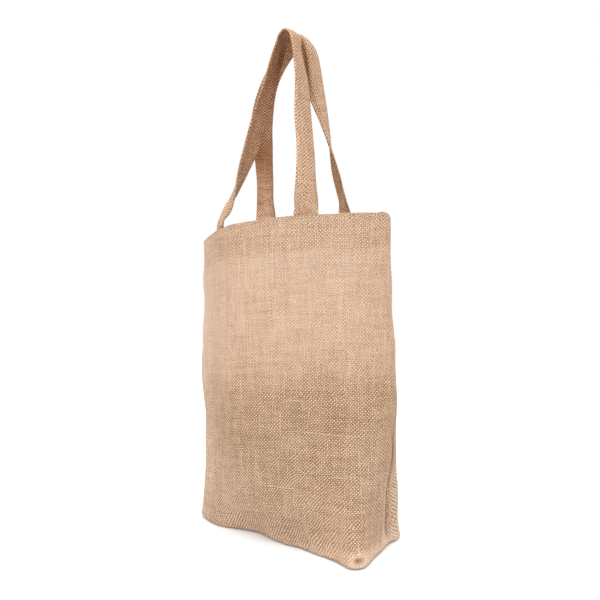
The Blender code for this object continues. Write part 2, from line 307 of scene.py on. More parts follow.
def blended(rows: np.ndarray, knots: np.ndarray, t: float) -> np.ndarray:
    """Blend four keys to one point of the smooth curve through them.

    Args:
        rows: the four keys.
        knots: their places along the curve.
        t: the place wanted, which lies between the middle two.

    Returns:
        The numbers of the point.
    """
    level = list(rows)
    for span in (1, 2, 3):
        joined = []
        for index in range(len(level) - 1):
            low, high = (knots[1], knots[2]) if span == 3 else (knots[index], knots[index + span])
            share = (t - low) / (high - low)
            joined.append(level[index] * (1.0 - share) + level[index + 1] * share)
        level = joined
    return level[0]


class Course:
    """A line through sampled points that is read by the share of its length."""

    def __init__(self, points: np.ndarray) -> None:
        """Keep the points and the length up to each."""
        self.points = points
        steps = np.linalg.norm(np.diff(points[:, :3], axis=0), axis=1)
        self.reached = np.concatenate(([0.0], np.cumsum(steps)))

    @property
    def length(self) -> float:
        """The length of the whole line."""
        return float(self.reached[-1])

    def at(self, share: np.ndarray) -> np.ndarray:
        """Read the line at shares of its length from 0 to 1."""
        want = np.clip(share, 0.0, 1.0) * self.length
        columns = [np.interp(want, self.reached, column) for column in self.points.T]
        return np.stack(columns, axis=-1)


@dataclass(frozen=True)
class Drape:
    """The way the cloth stands: its rim, its floor outline and how it rises from one to the other."""

    base_length: float = 0.264
    base_depth: float = 0.126
    base_middle: Tuple[float, float] = (0.0156, -0.0063)
    base_corner: float = 0.011
    corner_steps: int = 18
    base_fold: float = 0.005
    seam_right: float = 0.018
    seam_left: float = 0.004
    corner_right: float = 0.042
    corner_left: float = 0.056
    loft_power: float = 4.5
    rim_samples: int = 24

    def rim_courses(self) -> Tuple[Course, Course]:
        """Give the rim over the front panel and over the back panel.

        Returns:
            The course from the right seam to the left, and the course back again.
        """
        keys = [row[1:] for row in RIM]
        left = [row[0] for row in RIM].index("left seam") * self.rim_samples
        ends = len(keys) * self.rim_samples + 1
        loop = smooth_curve([keys[-1]] + keys + keys[:2], self.rim_samples)[:ends]
        return Course(loop[:left + 1]), Course(loop[left:])

    def corner(self, side_x: int, side_y: int, start: float) -> List[Point]:
        """Give the points of one rounded corner of the base.

        Args:
            side_x: 1 at the right and -1 at the left.
            side_y: 1 at the back and -1 at the front.
            start: the angle in degrees that the corner starts from, turning clockwise.

        Returns:
            The points, on the floor.
        """
        centre_x = self.base_middle[0] + side_x * (self.base_length / 2 - self.base_corner)
        centre_y = self.base_middle[1] + side_y * (self.base_depth / 2 - self.base_corner)
        points = []
        for step in range(self.corner_steps + 1):
            turn = math.radians(start - 90.0 / self.corner_steps * step)
            points.append((centre_x + self.base_corner * math.cos(turn),
                           centre_y + self.base_corner * math.sin(turn), 0.0))
        return points

    def floor_courses(self) -> Tuple[Course, Course]:
        """Give the floor outline under the front panel and under the back panel.

        Returns:
            The course from the right seam to the left, and the course back again.
        """
        middle_x, middle_y = self.base_middle
        right = (middle_x + self.base_length / 2, middle_y + self.seam_right, 0.0)
        left = (middle_x - self.base_length / 2, middle_y + self.seam_left, 0.0)
        front = [right] + self.corner(1, -1, 0.0) + self.corner(-1, -1, -90.0) + [left]
        back = [left] + self.corner(-1, 1, 180.0) + self.corner(1, 1, 90.0) + [right]
        return Course(np.array(front)), Course(np.array(back))

    def marks(self, course: Course, side: float, first: float,
              second: float) -> Tuple[List[float], List[float]]:
        """Pair distances on the cloth with distances on the floor, at a panel's seams and base corners.

        Args:
            course: the floor outline under the panel.
            side: how far the panel's first seam stands from the base corner's square tip.
            first: the cloth's distance from its first seam to the first corner.
            second: the same to the second corner.

        Returns:
            The distances on the cloth and on the floor.
        """
        half_turn = math.pi / 4 * self.base_corner
        near = side - self.base_corner + half_turn
        far = near + self.base_length - 2 * self.base_corner + 2 * half_turn
        return [0.0, first, second, PANEL], [0.0, near, far, course.length]


@dataclass(frozen=True)
class Ripples:
    """The slack of the cloth: many low, crossing waves that close round the bag."""

    seed: int = 4
    count: int = 14
    height: float = 0.00016
    round_cycles: Tuple[int, int] = (7, 20)
    up_cycles: Tuple[float, float] = (1.5, 7.0)
    rim_fade: float = 0.12

    def push(self, around: np.ndarray, up: np.ndarray) -> np.ndarray:
        """Give how far the slack stands out of the plain wall; it dies out at the rim.

        Args:
            around: distances round the bag.
            up: shares of the wall's height.

        Returns:
            The push at every place.
        """
        chance = np.random.default_rng(self.seed)
        total = np.zeros(np.broadcast(around, up).shape)
        for _ in range(self.count):
            turns = int(chance.integers(*self.round_cycles))
            rise = chance.uniform(*self.up_cycles) * chance.choice((-1.0, 1.0))
            start = chance.uniform(0.0, 1.0)
            total += np.sin(2 * np.pi * (turns * around / LOOP + rise * up + start))
        return self.height * total * np.clip((1.0 - up) / self.rim_fade, 0.0, 1.0)


@dataclass(frozen=True)
class Roughness:
    """How open and rough the weave is: more so below a wavy line, in the hem and in some spots."""

    fine: float = 0.27
    more_below: float = 0.70
    more_in_hem: float = 0.30
    line: float = 0.52
    line_waves: Tuple[Wave, ...] = ((0.012, 25.0, 0.0), (0.010, 67.0, 1.0))
    line_blur: float = 0.05
    hem_start: float = 0.895
    hem_blur: float = 0.006
    highest: float = 1.2
    spots: Tuple[Spot, ...] = ROUGH_SPOTS

    def at(self, around: np.ndarray, up: np.ndarray) -> np.ndarray:
        """Give the roughness.

        Args:
            around: distances round the bag.
            up: shares of the wall's height.

        Returns:
            The roughness at every place, from 0.
        """
        lower = 1.0 / (1.0 + np.exp((up - wavy(self.line, around, self.line_waves)) / self.line_blur))
        hem = 1.0 / (1.0 + np.exp((self.hem_start - up) / self.hem_blur))
        rough = self.fine + self.more_below * lower + self.more_in_hem * hem
        for spot in self.spots:
            rough += spot.weight(around, up)
        return np.clip(rough, 0.0, self.highest)


@dataclass
class Wall:
    """The outer face of the bag's wall, as points at places round and up the cloth."""

    drape: Drape = Drape()
    rim_changes: Tuple[RimChange, ...] = RIM_CHANGES
    folds: Tuple[Spot, ...] = FOLDS
    creases: Tuple[Crease, ...] = CREASES
    slack: Ripples = Ripples()
    tones: Tuple[Spot, ...] = PAINTED_LIGHT_AND_TONES
    roughness: Roughness = Roughness()
    level_reach: float = 0.006
    line_step: float = 0.002

    def __post_init__(self) -> None:
        """Work out the courses and landmarks that the wall hangs between."""
        drape = self.drape
        self.rims = drape.rim_courses()
        self.floors = drape.floor_courses()
        depth = drape.base_depth / 2
        self.marks = (
            drape.marks(self.floors[0], depth + drape.seam_right, drape.corner_right,
                        PANEL - drape.corner_left),
            drape.marks(self.floors[1], depth - drape.seam_left, drape.corner_left,
                        PANEL - drape.corner_right),
        )

    def outlines(self, around: np.ndarray) -> Tuple[np.ndarray, np.ndarray]:
        """Give the floor and the rim under and over places round the bag.

        Args:
            around: distances round the bag.

        Returns:
            The floor points and the rim points.
        """
        place = np.mod(around, LOOP)
        front = (place <= PANEL)[..., None]
        floors, rims = [], []
        for side, local in enumerate((place, place - PANEL)):
            cloth, floor = self.marks[side]
            course = self.floors[side]
            floors.append(course.at(np.interp(local, cloth, floor) / course.length))
            rims.append(self.rims[side].at(local / PANEL))
        rim = np.where(front, rims[0], rims[1])
        for change in self.rim_changes:
            rim[..., 2] += change.lift(place)
        return np.where(front, floors[0], floors[1]), rim

    def plain(self, around: np.ndarray, up: np.ndarray) -> np.ndarray:
        """Give the wall without its folds.

        Args:
            around: distances round the bag.
            up: shares of the wall's height.

        Returns:
            The points.
        """
        floor, rim = self.outlines(around)
        blend = (1.0 - (1.0 - np.clip(up, 0.0, 1.0)) ** self.drape.loft_power)[..., None]
        points = floor * (1.0 - blend) + rim * blend
        points[..., 2] = rim[..., 2] * up
        return points

    def outward(self, around: np.ndarray, up: np.ndarray) -> np.ndarray:
        """Give the level direction out of the bag.

        Args:
            around: distances round the bag.
            up: shares of the wall's height.

        Returns:
            A direction of length 1 for every place.
        """
        along = self.plain(around + self.level_reach, up) - self.plain(around - self.level_reach, up)
        level = np.stack((-along[..., 1], along[..., 0], np.zeros_like(along[..., 0])), axis=-1)
        return level / np.linalg.norm(level, axis=-1, keepdims=True)

    def push(self, around: np.ndarray, up: np.ndarray) -> np.ndarray:
        """Give how far the folds, the creases and the slack stand out of the plain wall.

        Args:
            around: distances round the bag.
            up: shares of the wall's height.

        Returns:
            The push at every place.
        """
        push = np.zeros(np.broadcast(around, up).shape)
        for fold in self.folds:
            push += fold.weight(around, up)
        for crease in self.creases:
            push += crease.push(around, up)
        return push + self.slack.push(around, up)

    def tone(self, around: np.ndarray, up: np.ndarray) -> np.ndarray:
        """Give how light the cloth is painted, with its painted shade and painted light.

        Args:
            around: distances round the bag.
            up: shares of the wall's height.

        Returns:
            The tone at every place, around 1.
        """
        around, up = np.broadcast_arrays(around, up)
        tone = np.ones(around.shape)
        for spot in self.tones:
            tone += spot.weight(around, up)
        return tone

    def coarse(self, around: np.ndarray, up: np.ndarray) -> np.ndarray:
        """Give how rough the weave is, from 0."""
        around, up = np.broadcast_arrays(around, up)
        return self.roughness.at(around, up)

    def at(self, around: np.ndarray, up: np.ndarray) -> np.ndarray:
        """Give points of the wall's outer face."""
        around, up = np.broadcast_arrays(np.asarray(around, float), np.asarray(up, float))
        return self.plain(around, up) + self.outward(around, up) * self.push(around, up)[..., None]

    def line(self, start: Tuple[float, float], end: Tuple[float, float], below_rim: bool,
             inwards: float) -> np.ndarray:
        """Give points along a straight line on the cloth.

        Args:
            start: distance round the bag and height of one end.
            end: the same of the other end.
            below_rim: whether the heights are metres below the rim, and not shares of the wall.
            inwards: how far behind the outer face the line runs.

        Returns:
            The points, about 2 mm apart.
        """
        count = max(3, round(math.hypot(end[0] - start[0], end[1] - start[1]) / self.line_step))
        around = np.linspace(start[0], end[0], count)
        up = np.linspace(start[1], end[1], count)
        if below_rim:
            _, rims = self.outlines(around)
            up = 1.0 - up / rims[:, 2]
        return self.at(around, up) - self.outward(around, up) * inwards


class ClothMesh:
    """Collects vertices and faces of one piece, each face corner with its place on the flat cloth."""

    def __init__(self, name: str) -> None:
        """Start an empty piece.

        Args:
            name: what the piece is called.
        """
        self.name = name
        self.points: List[np.ndarray] = []
        self.tones: List[np.ndarray] = []
        self.coarseness: List[np.ndarray] = []
        self.faces: List[Tuple[int, ...]] = []
        self.places: List[Tuple[float, float]] = []
        self.count = 0

    def add_points(self, points: np.ndarray, tone: np.ndarray, coarse: np.ndarray) -> np.ndarray:
        """Add vertices and give their numbers, in the shape of the rows handed in.

        Args:
            points: rows of positions.
            tone: how light the cloth is painted at each, or at all of them.
            coarse: how rough the weave is at each, or at all of them.

        Returns:
            The vertex numbers.
        """
        flat = points.reshape(-1, 3)
        numbers = np.arange(self.count, self.count + len(flat)).reshape(points.shape[:-1])
        self.points.append(flat)
        self.tones.append(np.broadcast_to(tone, numbers.shape).ravel())
        self.coarseness.append(np.broadcast_to(coarse, numbers.shape).ravel())
        self.count += len(flat)
        return numbers

    def add_quads(self, numbers: np.ndarray, places: np.ndarray, turned: bool = False) -> None:
        """Join a grid of vertices with quads.

        Args:
            numbers: vertex numbers, as rows of columns.
            places: place on the flat cloth of each of them.
            turned: whether the faces look the other way.
        """
        rows, columns = numbers.shape
        for row in range(rows - 1):
            for column in range(columns - 1):
                ring = [(row, column), (row, column + 1), (row + 1, column + 1), (row + 1, column)]
                if turned:
                    ring.reverse()
                self.add_face([numbers[corner] for corner in ring], [places[corner] for corner in ring])

    def add_face(self, numbers: Sequence[int], places: Sequence[Point]) -> None:
        """Add one face from its vertex numbers and their places on the flat cloth."""
        self.faces.append(tuple(int(number) for number in numbers))
        self.places.extend(tuple(place) for place in places)

    def build(self) -> bpy.types.Object:
        """Make the object, smooth-shaded, with its cloth map, tone and roughness.

        Returns:
            The object, linked to the scene.
        """
        mesh = bpy.data.meshes.new(self.name)
        mesh.from_pydata(np.concatenate(self.points).tolist(), [], self.faces)
        layer = mesh.uv_layers.new(name=CLOTH_MAP)
        layer.data.foreach_set("uv", np.array(self.places, np.float32).ravel())
        for name, values in ((TONE, self.tones), (COARSE, self.coarseness)):
            attribute = mesh.attributes.new(name, "FLOAT", "POINT")
            attribute.data.foreach_set("value", np.concatenate(values).astype(np.float32))
        mesh.shade_smooth()
        mesh.validate()
        return linked(self.name, mesh)


def linked(name: str, data: bpy.types.ID) -> bpy.types.Object:
    """Make an object of a mesh, a curve, a light or a camera and link it to the scene."""
    obj = bpy.data.objects.new(name, data)
    bpy.context.scene.collection.objects.link(obj)
    return obj


@dataclass
class BagCloth:
    """The bag's own cloth, from the base's underside over the rim to the inside of the base."""

    wall: Wall
    thickness: float = 0.0013
    hem_thickness: float = 0.0027
    hem_depth: float = 0.047
    hem_step: float = 0.0012
    column_step: float = 0.0027
    seam_step: float = 0.0009
    seam_reach: float = 0.006
    trial_places: int = 4001
    dimple: float = 0.042
    low: float = 0.016
    low_rows: int = 16
    wall_rows: int = 130
    hem_rows: int = 16
    inner_rows: int = 70
    rim_turn: Tuple[float, ...] = (30.0, 60.0, 90.0, 120.0, 150.0)
    base_turn: Tuple[float, ...] = (60.0, 30.0, 0.0)
    base_rings: int = 7
    base_inside: float = 0.0034
    base_tone: float = 0.9
    base_coarse: float = 0.9
    # How far in and how high each row of the base's outer edge lies, and then how unevenly it lifts.
    base_edge: Tuple[Tuple[float, float], ...] = (
        (0.0180, 0.0000), (0.0110, 0.0003), (0.0060, 0.0008), (0.0030, 0.0012),
        (0.0014, 0.0017), (0.0005, 0.0024), (0.0001, 0.0033),
    )
    edge_waves: Tuple[Wave, ...] = ((0.35, 43.0, 0.0), (0.20, 101.0, 1.0))
    # Where round the bag each panel's yarns run straight up on its cloth map.
    map_origins: Tuple[float, float] = (0.042, 0.560)

    def columns(self) -> np.ndarray:
        """Give the distances round the bag of the mesh's columns, closest at the seams and the dimple.

        Returns:
            The distances, with both side seams among them.
        """
        fine = np.linspace(0.0, PANEL, self.trial_places)
        halves = []
        for start, dense in ((0.0, (0.0, PANEL, self.dimple)), (PANEL, (0.0, PANEL))):
            nearest = np.min([np.abs(fine - place) for place in dense], axis=0)
            ease = np.clip(nearest / self.seam_reach - 1.0, 0.0, 1.0)
            step = self.seam_step + (self.column_step - self.seam_step) * ease
            counted = np.concatenate(([0.0], np.cumsum(np.diff(fine) / step[1:])))
            wanted = np.linspace(0.0, counted[-1], round(counted[-1]) + 1)
            halves.append(start + np.interp(wanted, counted, fine))
        return np.concatenate((halves[0][:-1], halves[1]))

    def outer_levels(self, around: np.ndarray, rim: np.ndarray) -> List[Tuple[np.ndarray, float]]:
        """Give the rows of the sheet outside the bag, from the base's underside up to the rim.

        Args:
            around: distances round the bag.
            rim: the rim's height at each of them.

        Returns:
            Each row's height and how far behind the outer face it lies.
        """
        fold = self.wall.drape.base_fold
        top = rim - self.hem_thickness / 2
        lift = wavy(1.0, around, self.edge_waves)
        levels = [(height * lift, inwards) for inwards, height in self.base_edge]
        for share in np.linspace(0.0, 1.0, self.low_rows, endpoint=False):
            levels.append((fold + (self.low - fold) * share, 0.0))
        for share in np.linspace(0.0, 1.0, self.wall_rows):
            levels.append((self.low + (top - self.low) * share, 0.0))
        return levels

    def inner_levels(self, rim: np.ndarray) -> List[Tuple[np.ndarray, float]]:
        """Give the rows of the sheet over the rim, down the hem and down the wall's inside to the base.

        Args:
            rim: the rim's height at each column.

        Returns:
            Each row's height and how far behind the outer face it lies.
        """
        fold = self.wall.drape.base_fold
        lap = self.hem_thickness / 2
        levels = []
        for angle in np.radians(self.rim_turn):
            levels.append((rim - lap + lap * math.sin(angle), lap * (1 - math.cos(angle))))
        for share in np.linspace(0.0, 1.0, self.hem_rows):
            levels.append((rim - lap - (self.hem_depth - lap) * share, 2 * lap))
        top = rim - self.hem_depth - self.hem_step
        low = self.base_inside + fold - self.thickness
        for share in np.linspace(0.0, 1.0, self.inner_rows):
            levels.append((top - (top - low) * share, self.thickness))
        turn = fold - self.thickness
        for angle in np.radians(self.base_turn):
            levels.append((self.base_inside + turn * (1.0 - math.cos(angle)), fold - turn * math.sin(angle)))
        return levels

    def build(self) -> bpy.types.Object:
        """Build the closed sheet.

        Returns:
            The sheet as one mesh object.
        """
        around = self.columns()[:-1]
        rim = self.wall.outlines(around)[1][..., 2]
        outside = self.outer_levels(around, rim)
        rows, tones, coarseness = [], [], []
        for height, inwards in outside + self.inner_levels(rim):
            up = height / rim
            rows.append(self.wall.at(around, up) - self.wall.outward(around, up) * inwards)
            tones.append(self.wall.tone(around, up))
            coarseness.append(self.wall.coarse(around, up))
        grid = np.array(rows)
        mesh = ClothMesh("bag_cloth")
        numbers = mesh.add_points(grid, np.array(tones), np.array(coarseness))
        self.join_wall(mesh, grid, rim - grid[..., 2], numbers, around, len(outside))
        self.join_base(mesh, grid[0], numbers[0], 0.0, False)
        self.join_base(mesh, grid[-1], numbers[-1], float(grid[-1][:, 2].mean()), True)
        return mesh.build()

    def join_wall(self, mesh: ClothMesh, grid: np.ndarray, depth: np.ndarray, numbers: np.ndarray,
                  around: np.ndarray, outer_end: int) -> None:
        """Join the rows of the wall, one panel after the other, each with its own cloth map.

        Args:
            mesh: the piece.
            grid: positions, as rows of columns.
            depth: how far below the rim each of them is.
            numbers: their vertex numbers.
            around: distance round the bag of each column.
            outer_end: the number of rows outside the bag.
        """
        closed = np.concatenate((np.arange(len(around)), [0]))
        joint = int(np.argmin(np.abs(around - PANEL)))
        for part, origin in zip((closed[:joint + 1], closed[joint:]), self.map_origins):
            strip = grid[:, part]
            steps = np.linalg.norm(np.diff(strip, axis=1), axis=-1)
            across = np.concatenate((np.zeros((len(strip), 1)), np.cumsum(steps, axis=1)), axis=1)
            held = int(np.argmin(np.abs(around[part[:-1]] - origin)))
            across = across - across[:, held:held + 1] + origin
            drop = depth[:, part].copy()
            drop[outer_end:] = -drop[outer_end:] - self.thickness
            mesh.add_quads(numbers[:, part], np.stack((across, -drop), axis=-1))

    def join_base(self, mesh: ClothMesh, ring: np.ndarray, numbers: np.ndarray, height: float,
                  inside: bool) -> None:
        """Close the sheet across the base, with rings that shrink to a middle point.

        Args:
            mesh: the piece.
            ring: positions of the outermost ring.
            numbers: their vertex numbers.
            height: how high the middle point is.
            inside: whether the faces look up into the bag.
        """
        middle = np.array([*self.wall.drape.base_middle, height])
        closed = np.concatenate((np.arange(len(ring)), [0]))
        last, held = ring, numbers
        for step in range(1, self.base_rings):
            drawn = middle + (ring - middle) * (1.0 - step / self.base_rings)
            added = mesh.add_points(drawn, self.base_tone, self.base_coarse)
            pair = np.array([held[closed], added[closed]])
            spots = np.array([last[closed, :2], drawn[closed, :2]])
            mesh.add_quads(pair, spots, turned=not inside)
            last, held = drawn, added
        centre = int(mesh.add_points(middle[None], self.base_tone, self.base_coarse)[0])
        for here, there in zip(closed[:-1], closed[1:]):
            ends = [here, there] if inside else [there, here]
            mesh.add_face([*held[ends], centre], [*last[ends, :2], middle[:2]])


@dataclass(frozen=True)
class StrapKey:
    """A place on a strap's middle line, with the compass angle and lift of its outer face in degrees."""

    name: str
    x: float
    y: float
    z: float
    facing: float
    lift: float

    def row(self) -> Point:
        """Give the position and the direction of the outer face, as six numbers."""
        turn, rise = math.radians(self.facing), math.radians(self.lift)
        return (self.x, self.y, self.z, math.cos(turn) * math.cos(rise), math.sin(turn) * math.cos(rise),
                math.sin(rise))


@dataclass(frozen=True)
class Curl:
    """A stretch where a strap's edges curl inwards."""

    along: float
    half_length: float
    degrees: float

    def turn(self, along: float) -> float:
        """Give the angle that it adds to the arc of a row, in radians."""
        return math.radians(self.degrees) * math.exp(-((along - self.along) / self.half_length) ** 2)


@dataclass(frozen=True)
class PaintedStrapLight:
    """A soft spot of one face of a strap that is painted lighter or darker: painted shadows and painted
    highlights where shade and light fall on it.
    """

    name: str
    face: Face
    along: float
    across: float
    half_length: float
    half_width: float
    amount: float

    def weight(self, along: np.ndarray, across: np.ndarray) -> np.ndarray:
        """Give what it adds to the tone at shares of the strap's length and width."""
        return self.amount * np.exp(-((along - self.along) / self.half_length) ** 2
                                    - ((across - self.across) / self.half_width) ** 2)


FRONT_HANDLE = (
    #        place               x        y        z       facing   lift
    StrapKey("right shin",         0.0696, -0.0593,  0.4500,  -22.0,    0.0),
    StrapKey("right knee",         0.0636, -0.0523,  0.4900,   -9.0,    0.0),
    StrapKey("right thigh",        0.0541, -0.0443,  0.5330,   -6.0,    5.0),
    StrapKey("right bend",         0.0439, -0.0340,  0.5860,    8.0,   20.0),
    StrapKey("right shoulder",     0.0296, -0.0268,  0.6330,   20.0,   35.0),
    StrapKey("right crown",        0.0262, -0.0250,  0.6465,   15.0,   60.0),
    StrapKey("peak",               0.0185, -0.0245,  0.6520,    6.0,   90.0),
    StrapKey("left crown",         0.0080, -0.0248,  0.6465,   10.0,  128.0),
    StrapKey("left shoulder",      0.0028, -0.0262,  0.6340,   12.0,  158.0),
    StrapKey("left bend",         -0.0053, -0.0340,  0.5960,    7.0,  168.0),
    StrapKey("left thigh",        -0.0156, -0.0465,  0.5420,    3.0,  176.0),
    StrapKey("left knee",         -0.0272, -0.0557,  0.4950,   10.0,  180.0),
    StrapKey("left shin",         -0.0487, -0.0626,  0.4400,   38.0,  180.0),
    StrapKey("left ankle",        -0.0655, -0.0622,  0.4200,   44.0,  180.0),
)
BACK_HANDLE = (
    #        place               x        y        z       facing   lift
    StrapKey("right shin",         0.0486,  0.0562,  0.4440,   51.0,    0.0),
    StrapKey("right knee",         0.0441,  0.0437,  0.4800,   48.0,    0.0),
    StrapKey("right thigh",        0.0381,  0.0307,  0.5350,   19.0,    0.0),
    StrapKey("right bend",         0.0300,  0.0187,  0.5850,  -12.0,    6.0),
    StrapKey("right shoulder",     0.0242,  0.0105,  0.6360,  -12.0,   25.0),
    StrapKey("right crown",        0.0185,  0.0095,  0.6500,   -6.0,   55.0),
    StrapKey("peak",               0.0085,  0.0092,  0.6575,    0.0,   90.0),
    StrapKey("left shoulder",     -0.0144,  0.0102,  0.6430,    0.0,  130.0),
    StrapKey("left bend",         -0.0549,  0.0207,  0.6040,  -10.0,  152.0),
    StrapKey("left thigh",        -0.0774,  0.0337,  0.5600,  -45.0,  172.0),
    StrapKey("left knee",         -0.0874,  0.0497,  0.5160,  -80.0,  178.0),
    StrapKey("left shin",         -0.0954,  0.0647,  0.4560,  -88.0,  180.0),
)

# Distances round the bag of each handle's right and left foot.
FRONT_FEET = (0.108, 0.263)
BACK_FEET = (0.626, 0.474)

FRONT_CURLS = (
    #    along, half length, degrees
    Curl(0.020, 0.090, 80.0),
    Curl(0.250, 0.120, 25.0),
    Curl(0.490, 0.050, 35.0),
    Curl(0.620, 0.060, 50.0),
    Curl(0.780, 0.080, 30.0),
    Curl(0.930, 0.050, 90.0),
)
BACK_CURLS = (
    Curl(0.060, 0.030, 60.0),
    Curl(0.300, 0.100, 30.0),
    Curl(0.480, 0.070, 70.0),
    Curl(0.700, 0.080, 30.0),
    Curl(0.930, 0.035, 50.0),
)
# Painted shadows and painted highlights on the straps' faces.
FRONT_PAINTED_LIGHT = (
    #     shade                face        along  across  half length  half width  amount
    PaintedStrapLight("painted shadow under the peak",    Face.INNER, 0.545, 0.78,   0.040,       0.30,       -0.55),
    PaintedStrapLight("painted shadow, far edge, high",    Face.OUTER, 0.405, 0.98,   0.075,       0.10,       -0.70),
    PaintedStrapLight("painted highlight, passing fold",      Face.INNER, 0.690, 0.50,   0.070,       0.30,        0.14),
    PaintedStrapLight("left leg, low",     Face.INNER, 0.870, 0.50,   0.120,       0.80,        0.70),
    PaintedStrapLight("right leg, high",   Face.OUTER, 0.360, 0.60,   0.080,       0.60,       -0.10),
    PaintedStrapLight("right leg's edge",  Face.OUTER, 0.220, 0.04,   0.180,       0.05,        0.10),
)
BACK_PAINTED_LIGHT = (
    PaintedStrapLight("painted shadow behind the front",  Face.INNER, 0.765, 0.50,   0.050,       0.90,       -0.40),
    PaintedStrapLight("left leg's edge",   Face.INNER, 0.860, 0.05,   0.120,       0.20,       -0.12),
    PaintedStrapLight("left leg, low",     Face.INNER, 0.920, 0.50,   0.110,       0.80,        0.70),
    PaintedStrapLight("right leg, low",    Face.INNER, 0.080, 0.50,   0.070,       0.80,        0.65),
    PaintedStrapLight("painted shadow beside the front",  Face.OUTER, 0.400, 0.14,   0.080,       0.12,       -0.85),
)


